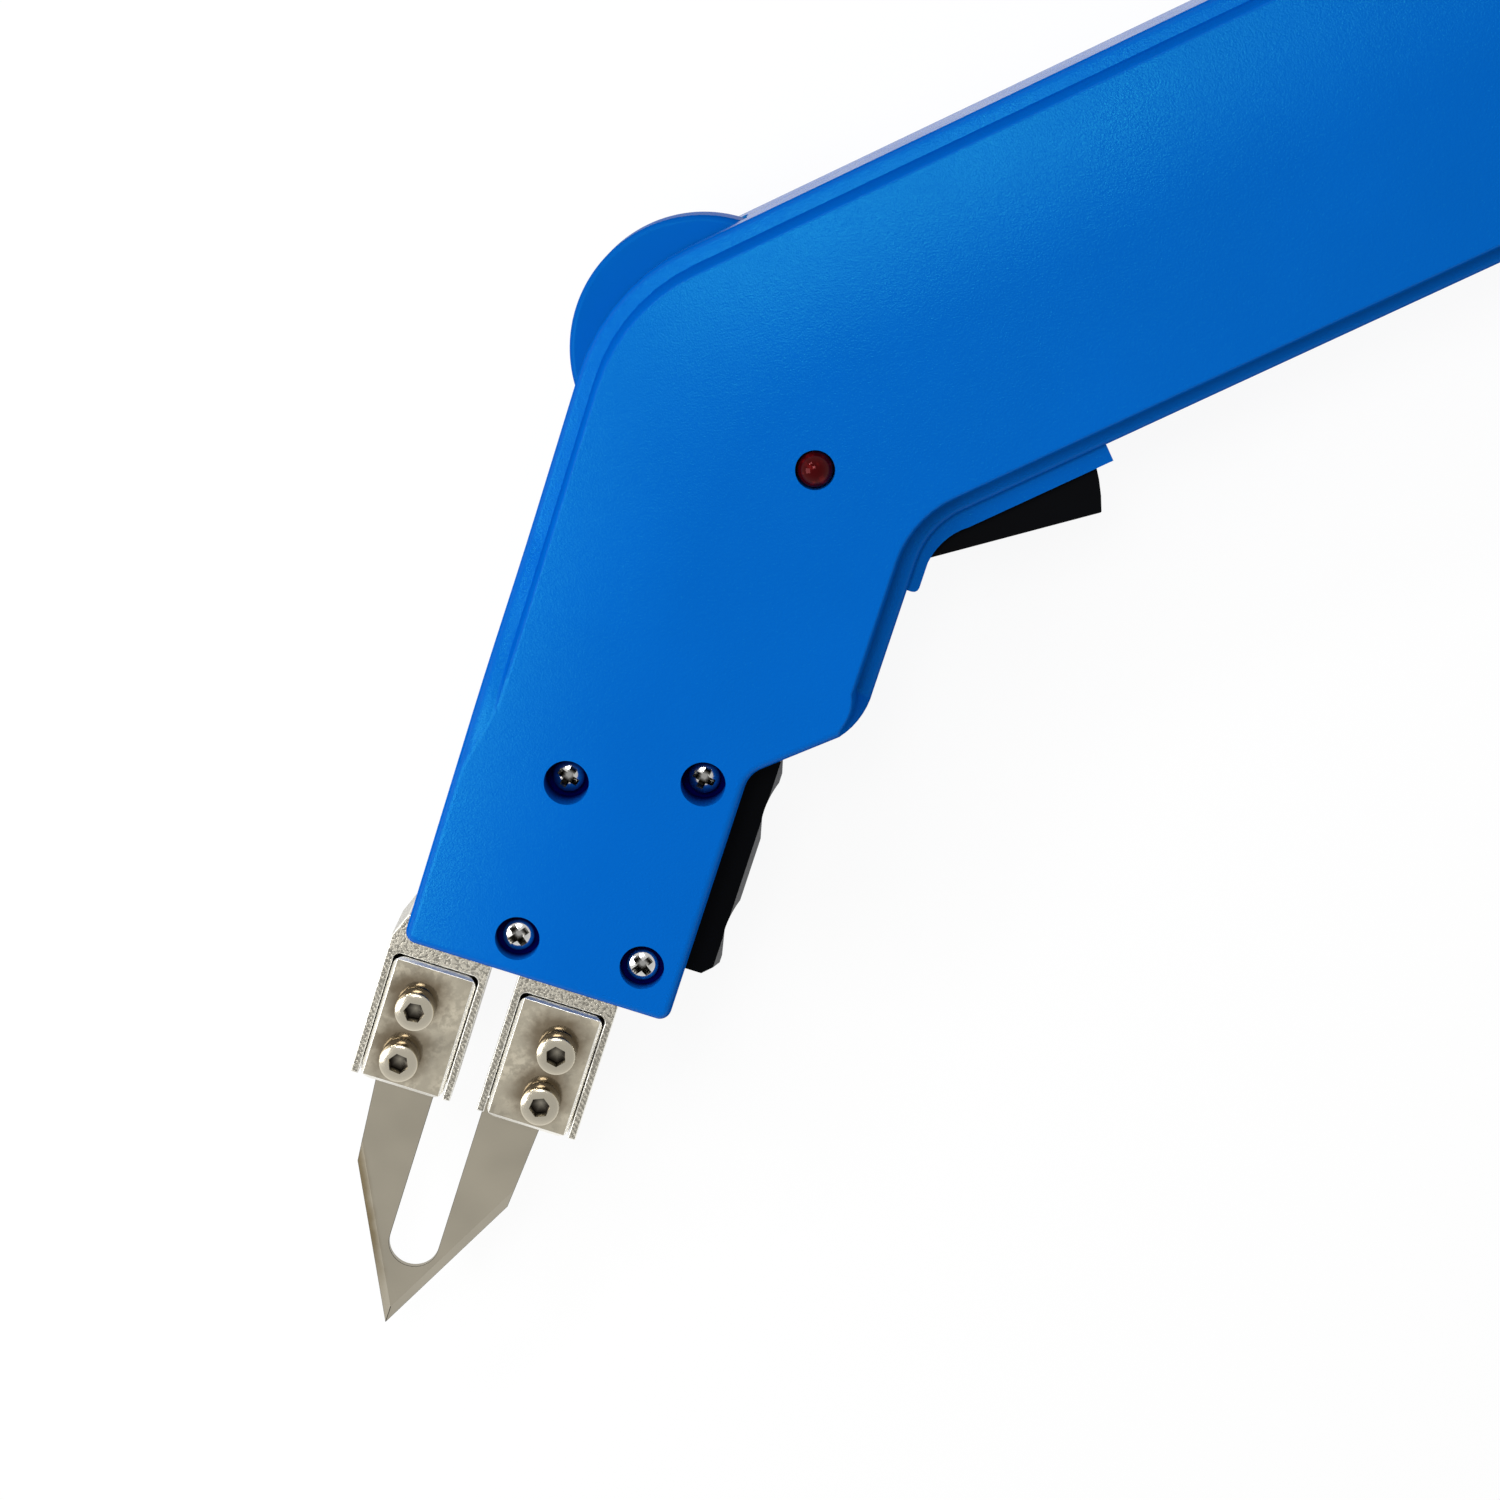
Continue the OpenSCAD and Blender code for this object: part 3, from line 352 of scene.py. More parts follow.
@dataclass(frozen=True)
class MouldedPlastic(Finish):
    """Satin moulded plastic with a tinted gloss, and where it has them a seam and a crowned panel.

    The crown is the panel's fall in degrees at its outer edge; the other sizes are in millimetres.
    """

    tint: Colour = (0.07, 1.0, 0.95)
    flat_faces: Span = (0.6, 0.998)
    wall_faces: Span = (0.05, 0.45)
    wall_gloss: float = 0.45
    seam: float = 0.0
    seam_gap: Span = (0.05, 0.16)
    seam_deep: float = 0.12
    seam_shade: float = 0.25
    rim_walls: Span = (10.5, 11.5)
    crown: float = 0.0
    crown_wide: float = 12.0
    crown_join: float = 14.0
    handle_edge: float = 19.7
    nose_edge: float = -15.2

    def shade(self, graph: ShaderGraph) -> None:
        """Tints the gloss, dulls the edges, draws the seam and rolls the panel off."""
        graph.set(specular_tint=self.tint)
        upright = graph.upright()
        flat = graph.spread(upright, span=self.flat_faces)
        wall = graph.spread(upright, self.wall_gloss, 0.0, self.wall_faces)
        if self.seam > 0:
            height = graph.maths("SUBTRACT", graph.axis(graph.place, "Z"), self.seam * MM)
            away = graph.maths("ABSOLUTE", height)
            wall = graph.maths("MULTIPLY", wall, graph.spread(away, 1.0, 0.0, in_metres(self.rim_walls)))
            gap = graph.spread(away, 1.0, 0.0, in_metres(self.seam_gap))
            graph.coat(gap, self.tone(self.seam_shade))
            graph.relief(gap, -self.seam_deep * MM, 0.6)
        self.dull(graph, graph.maths("MAXIMUM", flat, wall))
        if self.crown > 0:
            self.roll_off(graph)

    def roll_off(self, graph: ShaderGraph) -> None:
        """Lets the side panel fall towards the back of the handle and of the nose.

        Args:
            graph: material under way.
        """
        handle = graph.maths("SUBTRACT", self.handle_edge * MM, graph.axis(graph.place, "Y"))
        across = graph.maths("MULTIPLY", graph.axis(graph.turned(NOSE_TURN), "Y"), -1.0)
        nose = graph.maths("SUBTRACT", across, self.nose_edge * MM)
        near = graph.maths("SMOOTH_MIN", handle, nose, self.crown_join * MM)
        beyond = graph.maths("MAXIMUM", graph.maths("SUBTRACT", self.crown_wide * MM, near), 0.0)
        steep = math.tan(math.radians(self.crown)) / (2 * self.crown_wide * MM)
        fall = graph.maths("MULTIPLY", graph.maths("MULTIPLY", beyond, beyond), -steep)
        graph.relief(fall, 1.0, 1.0)


@dataclass(frozen=True)
class MilledPlate(Finish):
    """Plated metal with tumbled pits, and where it has them cutter ridges and a dark ring round hot screws,
    which is heat tarnish and a painted shade and reflection of the screws.

    Sizes are in millimetres; the ridges start at a station along the nose.
    """

    speckle: float = 0.0
    speckle_scale: float = 2400.0
    pit_span: Span = (0.36, 0.62)
    pit_deep: float = 0.06
    shading_screws: str = ""
    tarnish_shade: Colour = (0.2, 0.145, 0.085)
    tarnish_shade_share: float = 0.85
    tarnish_shade_wide: Span = (2.4, 5.6)
    tarnish_shade_shift: Span = (0.5, 1.1)
    tarnish_shade_scale: float = 320.0
    tarnish_shade_wander: float = 3.0
    ridge_from: float = 0.0
    ridge_fade: float = 0.8
    ridge_pitch: float = 0.75
    ridge_slant: float = 0.8
    ridge_scale: float = 700.0
    ridge_wander: float = 0.6
    ridge_wave: Span = (-0.6, 0.6)
    ridge_faces: Span = (0.6, 0.9)
    ridge_shade: float = 0.45
    ridge_deep: float = 0.08

    def shade(self, graph: ShaderGraph) -> None:
        """Adds the pits, the tarnish with its painted shade, and the ridges."""
        base = graph.shader.inputs["Base Color"]
        bright = graph.spread(graph.noise(self.speckle_scale, 3.0), span=self.pit_span)
        graph.wire(graph.blend(bright, self.tone(1 - self.speckle), base.links[0].from_socket), base)
        graph.relief(bright, self.pit_deep * self.speckle * MM, 0.6)
        if self.shading_screws:
            self.stain_and_shade(graph)
        if self.ridge_from > 0:
            self.mill(graph)

    def stain_and_shade(self, graph: ShaderGraph) -> None:
        """Darkens the plate round each hot screw, more towards the housing: heat tarnish, and a painted shade
        and reflection of the screw.

        Args:
            graph: material under way.
        """
        level = graph.turned(0.0, (1, 1, 0))
        shift = Vector(self.tarnish_shade_shift) * MM
        near: Socket | None = None
        for screw in screw_places(self.shading_screws):
            reach = graph.add("ShaderNodeVectorMath", operation="DISTANCE")
            reach.inputs[1].default_value = (*(screw.top.xy + shift), 0.0)
            graph.wire(level, reach.inputs[0])
            away = reach.outputs["Value"]
            near = away if near is None else graph.maths("MINIMUM", near, away)
        wander = graph.maths("MULTIPLY", graph.noise(self.tarnish_shade_scale, 3.0), self.tarnish_shade_wander * MM)
        start, end = (wide + self.tarnish_shade_wander / 2 for wide in self.tarnish_shade_wide)
        reached = graph.maths("ADD", near, wander)
        # Paints the dark ring: heat tarnish and painted shade and reflection of the screws.
        graph.coat(graph.spread(reached, self.tarnish_shade_share, 0.0, in_metres((start, end))), self.tarnish_shade)

    def mill(self, graph: ShaderGraph) -> None:
        """Cuts slanting ridges into the level faces at the far end.

        Args:
            graph: material under way.
        """
        place = graph.turned(NOSE_TURN)
        along = graph.maths("MULTIPLY", graph.axis(place, "X"), -1.0)
        aside = graph.maths("MULTIPLY", graph.axis(place, "Y"), self.ridge_slant)
        shift = self.ridge_wander * self.ridge_pitch * MM
        wander = graph.maths("MULTIPLY", graph.noise(self.ridge_scale), shift)
        slant = graph.maths("ADD", graph.maths("ADD", along, aside), wander)
        phase = graph.maths("MULTIPLY", slant, 2 * math.pi / (self.ridge_pitch * MM))
        wave = graph.spread(graph.maths("SINE", phase), span=self.ridge_wave)
        there = graph.spread(along, span=in_metres((self.ridge_from, self.ridge_from + self.ridge_fade)))
        there = graph.maths("MULTIPLY", there, graph.spread(graph.upright(), span=self.ridge_faces))
        groove = graph.maths("MULTIPLY", graph.maths("SUBTRACT", 1.0, wave), there)
        graph.coat(groove, self.tone(self.ridge_shade))
        graph.relief(groove, -self.ridge_deep * MM, 0.5)


@dataclass(frozen=True)
class GroundBlade(Finish):
    """Ground blade steel with a brown heat tint along one cutting edge.

    The tip is in metres, and the other sizes are in millimetres.
    """

    tip: Span = (-0.09859, -0.09745)
    edge_turn: float = -107.6
    line_scale: tuple[float, float, float] = (3000.0, 160.0, 160.0)
    line_deep: float = 0.006
    tint: Colour = (0.15, 0.108, 0.045)
    tint_share: float = 0.8
    tint_wide: Span = (0.2, 1.8)
    tint_scale: float = 260.0
    tint_wander: float = 1.2
    tint_along: Span = (2.6, 14.3)
    tint_at_tip: float = 0.15

    def shade(self, graph: ShaderGraph) -> None:
        """Adds the grinding lines and the tint."""
        lines = graph.noise(1.0, vector=graph.turned(NOSE_TURN, self.line_scale))
        graph.relief(lines, self.line_deep * MM, 0.4)
        edge = graph.turned(self.edge_turn, shift=(*self.tip, 0.0))
        uneven = graph.maths("SUBTRACT", graph.noise(self.tint_scale, 3.0), 0.5)
        wander = graph.maths("MULTIPLY", uneven, self.tint_wander * MM)
        reach = graph.maths("ADD", graph.axis(edge, "Y"), wander)
        near = graph.spread(reach, self.tint_share, 0.0, in_metres(self.tint_wide))
        along = graph.maths("ABSOLUTE", graph.axis(edge, "X"))
        hot = graph.spread(along, self.tint_at_tip, 1.0, in_metres(self.tint_along))
        graph.coat(graph.maths("MULTIPLY", near, hot), self.tint)


@dataclass(frozen=True)
class LampDome(Finish):
    """Clear red lamp dome with the chip and its cup showing through."""

    inside: Colour = (0.12, 0.004, 0.004)
    inside_scale: float = 900.0
    inside_span: Span = (0.52, 0.72)
    tint: Colour = (1.0, 0.25, 0.27)

    def shade(self, graph: ShaderGraph) -> None:
        """Tints the gloss and adds the blotches of what lies inside."""
        graph.set(specular_tint=self.tint)
        graph.coat(graph.spread(graph.noise(self.inside_scale), span=self.inside_span), self.inside)


FINISHES: tuple[Finish, ...] = (
    # Deep is the painted shade colour in the bores over the housing screws.
    MouldedPlastic("housing_blue", (0.0003, 0.112, 0.53), roughness=0.25, specular=0.31, mottle=0.02,
                   grain=4300.0, depth=0.1, crown=9.5, crown_wide=19.0, seam=19.0,
                   deep=(0.0015, 0.0015, 0.1)),
    MouldedPlastic("wheel_blue", (0.0003, 0.098, 0.445), roughness=0.35, specular=0.12, mottle=0.02,
                   grain=3600.0, depth=0.01, wall_gloss=0.05),
    LampDome("lamp_red", (0.045, 0.0008, 0.0012), roughness=0.06, specular=0.25, mottle=0.2, depth=0.001),
    Finish("black_plastic", (0.0007, 0.0009, 0.0016), specular=0.045, grain=4200.0, depth=0.012),
    # A lighter grey copy of the black plastic: painted sheen on the guide shoe's bevels.
    Finish("black_plastic_edge", (0.17, 0.17, 0.173), roughness=0.5, specular=0.2, grain=4200.0, depth=0.012),
    Finish("gland_rubber", (0.008, 0.008, 0.009), roughness=0.62, specular=0.25, grain=3000.0),
    MilledPlate("plated_bar", (0.75, 0.705, 0.595), roughness=0.28, metallic=1.0, mottle=0.1,
                speckle=0.58, speckle_scale=3200.0, ridge_from=82.4),
    # The plate's ring round the clamp screws is heat tarnish and painted shade and reflection.
    MilledPlate("polished_plate", (0.73, 0.66, 0.515), roughness=0.11, metallic=1.0, mottle=0.3, cloud=170.0,
                depth=0.006, speckle=0.1, speckle_scale=1200.0, shading_screws="clamp_screws"),
    # Rougher edge metal in a lighter colour: painted highlight on the bevels of carriers and plates.
    Finish("polished_edge", (0.92, 0.9, 0.84), roughness=0.42, metallic=1.0, depth=0.006),
    # Deep is the painted shade colour in the drive recesses of these screws.
    Finish("screw_steel", (0.64, 0.585, 0.47), roughness=0.17, metallic=1.0, depth=0.006,
           deep=(0.02, 0.016, 0.012)),
    Finish("screw_chrome", (0.8, 0.79, 0.76), roughness=0.13, metallic=1.0, depth=0.01,
           deep=(0.03, 0.026, 0.02)),
    GroundBlade("blade_steel", (0.37, 0.336, 0.266), roughness=0.42, metallic=1.0, mottle=0.07, depth=0.006),
    GroundBlade("blade_ground", (0.42, 0.385, 0.31), roughness=0.34, metallic=1.0, mottle=0.1, depth=0.01),
    # Near-black steel on the blade's rounded edges: painted shade along the edges.
    Finish("blade_edge", (0.06, 0.054, 0.043), roughness=0.4, metallic=1.0),
    Finish("copper", (0.6, 0.26, 0.12), roughness=0.3, metallic=1.0),
    Finish("core_steel", (0.09, 0.095, 0.1), roughness=0.5, metallic=0.6),
    Finish("board_green", (0.01, 0.13, 0.05), roughness=0.4),
    Finish("brown_resin", (0.1, 0.035, 0.015), roughness=0.5),
    Finish("cream_plastic", (0.7, 0.66, 0.54)),
    Finish("grey_metal", (0.2, 0.21, 0.23), roughness=0.4, metallic=0.7),
    Finish("yellow_film", (0.6, 0.38, 0.04), roughness=0.35),
)


class Palette:
    """All materials of the tool, made once and found by record slot."""

    def __init__(self, finishes: Iterable[Finish]) -> None:
        """Builds the materials.

        Args:
            finishes: the finishes to build.
        """
        self.by_slot = {finish.slot: finish.build() for finish in finishes}
        self.node_slot = {p["node"]: p["material_slot"] for p in frame["record"]["subparts"]}

    def of_node(self, node: str) -> Material:
        """The material that the record gives a node."""
        return self.by_slot[self.node_slot[node]]

    def dress(self, node: str) -> None:
        """Puts its material on a CAD node.

        Args:
            node: name of the node.
        """
        mesh = frame["nodes"][node].data
        mesh.materials.clear()
        mesh.materials.append(self.of_node(node))


def merged(node: str) -> Shape:
    """A joined-up copy of a CAD node's mesh, with flat areas made one face.

    Args:
        node: name of the node.

    Returns:
        The copy; the caller frees it.
    """
    shape = bmesh.new()
    shape.from_mesh(frame["nodes"][node].data)
    bmesh.ops.remove_doubles(shape, verts=shape.verts, dist=WELD)
    flat = math.radians(FLAT_WITHIN)
    bmesh.ops.dissolve_limit(shape, angle_limit=flat, verts=shape.verts, edges=shape.edges)
    return shape


def link(name: str, mesh: bpy.types.Mesh) -> Piece:
    """Puts a mesh into the scene as an object at the origin.

    Args:
        name: name of the object.
        mesh: its mesh.

    Returns:
        The new object.
    """
    piece = bpy.data.objects.new(name, mesh)
    bpy.context.scene.collection.objects.link(piece)
    return piece


def place_mesh(name: str, shape: Shape, material: Material, smooth: float = 40.0) -> Piece:
    """Makes an object from a built mesh, smooth up to an angle.

    Args:
        name: name of the piece.
        shape: built mesh, freed here.
        material: its material.
        smooth: edges sharper than this many degrees stay crisp.

    Returns:
        The new object.
    """
    for face in shape.faces:
        face.smooth = True
    for edge in shape.edges:
        edge.smooth = edge.is_manifold and edge.calc_face_angle(math.pi) < math.radians(smooth)
    mesh = bpy.data.meshes.new(name)
    shape.to_mesh(mesh)
    shape.free()
    mesh.materials.append(material)
    return link(name, mesh)


def baked(piece: Piece) -> bpy.types.Mesh:
    """The evaluated mesh of an object as a plain mesh.

    Args:
        piece: object with modifiers.

    Returns:
        A new mesh with the modifiers applied.
    """
    bpy.context.view_layer.update()
    graph = bpy.context.evaluated_depsgraph_get()
    return bpy.data.meshes.new_from_object(piece.evaluated_get(graph))


def mark_recess_shade(mesh: bpy.types.Mesh, shade_of: Callable[[Vector], float]) -> None:
    """Stores how much painted shade each point gets in a recess, for the materials.

    Args:
        mesh: mesh to mark.
        shade_of: gives 0 for no painted shade at the surface and 1 for full painted shade deep down.
    """
    # Each point's share of painted shade.
    mesh.attributes.new(RECESS_SHADE, "FLOAT", "POINT")
    store = mesh.attributes[RECESS_SHADE]
    for point in mesh.vertices:
        store.data[point.index].value = shade_of(point.co)


def soften(piece: Piece, width: float, strip: Material | None = None) -> None:
    """Rounds the edges of a piece and evens its shading.

    Args:
        piece: the piece.
        width: bevel width in metres, or 0 for none.
        strip: material of the rounded strips, where it differs.
    """
    if width > 0:
        bevel = piece.modifiers.new("rounded_edges", "BEVEL")
        bevel.width = width
        bevel.segments = ROUND_STRIPS
        bevel.limit_method = "ANGLE"
        bevel.angle_limit = math.radians(ROUND_FROM)
        if strip is not None:
            piece.data.materials.append(strip)
            bevel.material = len(piece.data.materials) - 1
    even = piece.modifiers.new("even_shading", "WEIGHTED_NORMAL")
    even.keep_sharp = True
    even.weight = 100


def refinish(piece: Piece, lean: Span, material: Material) -> None:
    """Gives the faces that lean by a certain amount a finish of their own.

    Args:
        piece: the piece.
        lean: least and most upright share of such a face's normal.
        material: finish of these faces.
    """
    coats = piece.data.materials
    if material.name not in coats:
        coats.append(material)
    for face in piece.data.polygons:
        if lean[0] < abs(face.normal.z) < lean[1]:
            face.material_index = coats.find(material.name)


def settle(piece: Piece, body: Body, slot: str, node: str) -> None:
    """Hands a finished piece to the frame.

    Args:
        piece: the piece.
        body: body that carries it.
        slot: its record slot, not used.
        node: CAD node that it stands for.
    """
    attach(piece, body.value)
    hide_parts(node)
    LOG.info("%s: %d faces", piece.name, len(piece.data.polygons))


@dataclass
class RoundedNode:
    """A CAD node shown as a copy with edges rounded by some millimetres and even shading."""

    node: str
    body: Body = Body.FIXED
    edge: float = 0.0
    smooth: float = 40.0
    strip: str = ""

    def build(self, palette: Palette) -> Piece:
        """Makes the piece.

        Args:
            palette: materials.

        Returns:
            The finished piece.
        """
        piece = place_mesh(self.node + "_skin", merged(self.node), palette.of_node(self.node), self.smooth)
        soften(piece, self.edge * MM, palette.by_slot[self.strip] if self.strip else None)
        settle(piece, self.body, palette.node_slot[self.node], self.node)
        return piece


def lathe(profile: Sequence[tuple[float, float]], segments: int) -> Shape:
    """Turns a profile about Z into a closed solid.

    Args:
        profile: radius and height, from the axis below to the axis above.
        segments: steps round.

    Returns:
        The solid.
    """
    shape = bmesh.new()
    turns = [2 * math.pi * k / segments for k in range(segments)]
    rings: list[list[bmesh.types.BMVert]] = []
    for radius, height in profile:
        steps = turns if radius > 0 else turns[:1]
        rings.append([shape.verts.new((radius * math.cos(a), radius * math.sin(a), height)) for a in steps])
    for low, high in zip(rings, rings[1:]):
        for k in range(segments):
            j = (k + 1) % segments
            corners = [low[k % len(low)], low[j % len(low)], high[j % len(high)], high[k % len(high)]]
            shape.faces.new(list(dict.fromkeys(corners)))
    bmesh.ops.recalc_face_normals(shape, faces=shape.faces)
    return shape


def screw_places(node: str) -> list[ScrewPlace]:
    """Finds each upright screw of a CAD node.

    Args:
        node: name of the node.

    Returns:
        The screws, sorted along X and then Y.
    """
    shape = merged(node)
    left = set(shape.verts)
    found: list[ScrewPlace] = []
    while left:
        grow = [left.pop()]
        island = list(grow)
        while grow:
            vert = grow.pop()
            for edge in vert.link_edges:
                other = edge.other_vert(vert)
                if other in left:
                    left.remove(other)
                    grow.append(other)
                    island.append(other)
        low = Vector([min(v.co[i] for v in island) for i in range(3)])
        high = Vector([max(v.co[i] for v in island) for i in range(3)])
        middle = Vector(((low.x + high.x) / 2, (low.y + high.y) / 2, high.z))
        found.append(ScrewPlace(middle, (high.x - low.x) / 2, high.z - low.z))
    shape.free()
    return sorted(found, key=lambda screw: (round(screw.top.x, 5), round(screw.top.y, 5)))


@dataclass
class FastenerRow:
    """Equal upright screws that replace one CAD node, set out on its own places.

    The head's height and the shank's radius are in millimetres, and the turns in degrees. The crown and
    the recess are shares of the head's height and radius.
    """

    node: str
    recess: Recess
    head_height: float
    crown: float
    recess_wide: float
    recess_deep: float
    shank: float
    turns: tuple[float, ...]
    finish: str = "screw_steel"
    # Share of painted dark reflection on the side wall of the head.
    painted_wall_shade: float = 0.0
    # Share of painted shade in the middle of the drive, lighter than its walls.
    painted_hub_shade: float = 0.45
    swell: float = 1.0
    segments: int = 48
    shank_sides: int = 24
    crease: float = 35.0
    clear: float = 0.1

    def profile(self) -> list[tuple[float, float]]:
        """Outline of one head of radius 1 and height 1.

        Returns:
            Radius and height, from the axis below to the axis above.
        """
        drop = self.crown
        if self.recess is Recess.HEX:
            return [(0.0, -1.0), (0.98, -1.0), (1.0, -0.97), (1.0, -drop), (0.97, -drop * 0.4),
                    (1.0 - drop, 0.0), (0.0, 0.0)]
        dome = [math.radians(step) for step in range(12, 90, 13)]
        return [(0.0, -1.0), (0.97, -1.0), (1.0, -0.94), (1.0, -drop - 0.06),
                *((math.cos(a), -drop + drop * math.sin(a)) for a in dome), (0.0, 0.0)]

    def drive(self) -> list[Shape]:
        """The shapes that the driver leaves in a head of radius 1.

        Returns:
            The cutters.
        """
        wide, deep = self.recess_wide, self.recess_deep
        if self.recess is Recess.HEX:
            return [lathe([(0.0, -deep - 0.12), (wide * 0.98, -deep), (wide, -0.05),
                           (wide * 1.08, self.clear), (0.0, self.clear)], 6)]
        return [self.blade_slot(turn) for turn in (0.0, 90.0)]

    def blade_slot(self, turn: float) -> Shape:
        """One tapered slot of a cross recess.

        Args:
            turn: turn of the slot in degrees.

        Returns:
            The cutter.
        """
        wide, slim = self.recess_wide, self.recess_wide * 0.3
        spin = Matrix.Rotation(math.radians(turn), 4, "Z")
        shape = bmesh.new()
        rings: list[list[bmesh.types.BMVert]] = []
        for x, y, z in ((wide * 1.1, slim * 1.1, self.clear), (wide * 0.5, slim * 0.6, -self.recess_deep)):
            corners = ((x, y, z), (-x, y, z), (-x, -y, z), (x, -y, z))
            rings.append([shape.verts.new(spin @ Vector(corner)) for corner in corners])
        upper, lower = rings
        shape.faces.new(upper)
        shape.faces.new(list(reversed(lower)))
        for k in range(4):
            shape.faces.new([upper[k], lower[k], lower[(k + 1) % 4], upper[(k + 1) % 4]])
        bmesh.ops.recalc_face_normals(shape, faces=shape.faces)
        return shape

    def head(self, material: Material) -> Piece:
        """Makes one head of radius 1 and height 1, with its top at the origin.

        Args:
            material: finish of the head.

        Returns:
            The template, to be removed after use.
        """
        name = self.node + "_head"
        solid = place_mesh(name, lathe(self.profile(), self.segments), material, self.crease)
        cutters = [place_mesh(self.node + "_drive", shape, material, self.crease) for shape in self.drive()]
        for cutter in cutters:
            cut = solid.modifiers.new("recess", "BOOLEAN")
            cut.operation = "DIFFERENCE"
            cut.solver = "EXACT"
            cut.object = cutter
        mesh = baked(solid)
        for used in (solid, *cutters):
            bpy.data.objects.remove(used)
        shape = bmesh.new()
        shape.from_mesh(mesh)
        bpy.data.meshes.remove(mesh)
        template = place_mesh(name, shape, material, self.crease)
        # Stores the painted shade of the drive and the side wall.
        mark_recess_shade(template.data, self.painted_shade_at)
        return template

    def painted_shade_at(self, point: Vector) -> float:
        """How much painted shade a point of the head gets: the drive's walls most, its middle less, and the
        side wall of a cap its own share as a painted dark reflection.

        Args:
            point: place on the head of radius 1.

        Returns:
            0 for no painted shade to 1 for full painted shade.
        """
        out = point.xy.length
        if point.z < -0.4 * self.recess_deep and out < 1.02 * self.recess_wide:
            return 1.0 if out > 0.3 * self.recess_wide else self.painted_hub_shade
        return self.painted_wall_shade if out > 0.96 and point.z < -0.5 * self.crown else 0.0

    def tree(self) -> tuple[bpy.types.NodeTree, dict[str, str]]:
        """Node tree that sets a head and a shank on each point.

        Returns:
            The tree and the identifiers of its named inputs.
        """
        tree = bpy.data.node_groups.new("fastener_row", "GeometryNodeTree")
        kinds = {"Geometry": "Geometry", "Head": "Object", "Head Radius": "Float", "Head Height": "Float",
                 "Shank Radius": "Float", "Material": "Material"}
        keys: dict[str, str] = {}
        for name, kind in kinds.items():
            socket = tree.interface.new_socket(name, in_out="INPUT", socket_type="NodeSocket" + kind)
            keys[name] = socket.identifier
        tree.interface.new_socket("Geometry", in_out="OUTPUT", socket_type="NodeSocketGeometry")
        add: Callable[[str], Node] = tree.nodes.new
        wire = tree.links.new
        given, done = add("NodeGroupInput"), add("NodeGroupOutput")
        head, heads = add("GeometryNodeObjectInfo"), add("GeometryNodeInstanceOnPoints")
        shank, shanks = add("GeometryNodeMeshCylinder"), add("GeometryNodeInstanceOnPoints")
        wire(given.outputs["Head"], head.inputs["Object"])
        scale, stretch, drop = (add("ShaderNodeCombineXYZ") for _ in range(3))
        for axis in ("X", "Y"):
            wire(given.outputs["Head Radius"], scale.inputs[axis])
            stretch.inputs[axis].default_value = 1.0
        wire(given.outputs["Head Height"], scale.inputs["Z"])
        facing, length = (add("GeometryNodeInputNamedAttribute") for _ in range(2))
        facing.data_type = "FLOAT_VECTOR"
        facing.inputs["Name"].default_value = "facing"
        length.inputs["Name"].default_value = "length"
        for part, rows in ((head.outputs["Geometry"], heads), (shank.outputs["Mesh"], shanks)):
            wire(given.outputs["Geometry"], rows.inputs["Points"])
            wire(part, rows.inputs["Instance"])
            wire(facing.outputs["Attribute"], rows.inputs["Rotation"])
        wire(scale.outputs["Vector"], heads.inputs["Scale"])
        shank.inputs["Vertices"].default_value = self.shank_sides
        shank.inputs["Depth"].default_value = 1.0
        wire(given.outputs["Shank Radius"], shank.inputs["Radius"])
        wire(length.outputs["Attribute"], stretch.inputs["Z"])
        wire(stretch.outputs["Vector"], shanks.inputs["Scale"])
        share, half = add("ShaderNodeMath"), add("ShaderNodeMath")
        share.operation = "DIVIDE"
        wire(given.outputs["Head Height"], share.inputs[0])
        wire(length.outputs["Attribute"], share.inputs[1])
        half.operation = "MULTIPLY_ADD"
        wire(share.outputs[0], half.inputs[0])
        half.inputs[1].default_value = -1.0
        half.inputs[2].default_value = -0.5
        wire(half.outputs[0], drop.inputs["Z"])
        lower = add("GeometryNodeTranslateInstances")
        wire(shanks.outputs["Instances"], lower.inputs["Instances"])
        wire(drop.outputs["Vector"], lower.inputs["Translation"])
        joined, real = add("GeometryNodeJoinGeometry"), add("GeometryNodeRealizeInstances")
        coat = add("GeometryNodeSetMaterial")
        wire(heads.outputs["Instances"], joined.inputs["Geometry"])
        wire(lower.outputs["Instances"], joined.inputs["Geometry"])
        wire(joined.outputs["Geometry"], real.inputs["Geometry"])
        wire(real.outputs["Geometry"], coat.inputs["Geometry"])
        wire(given.outputs["Material"], coat.inputs["Material"])
        wire(coat.outputs["Geometry"], done.inputs["Geometry"])
        return tree, keys

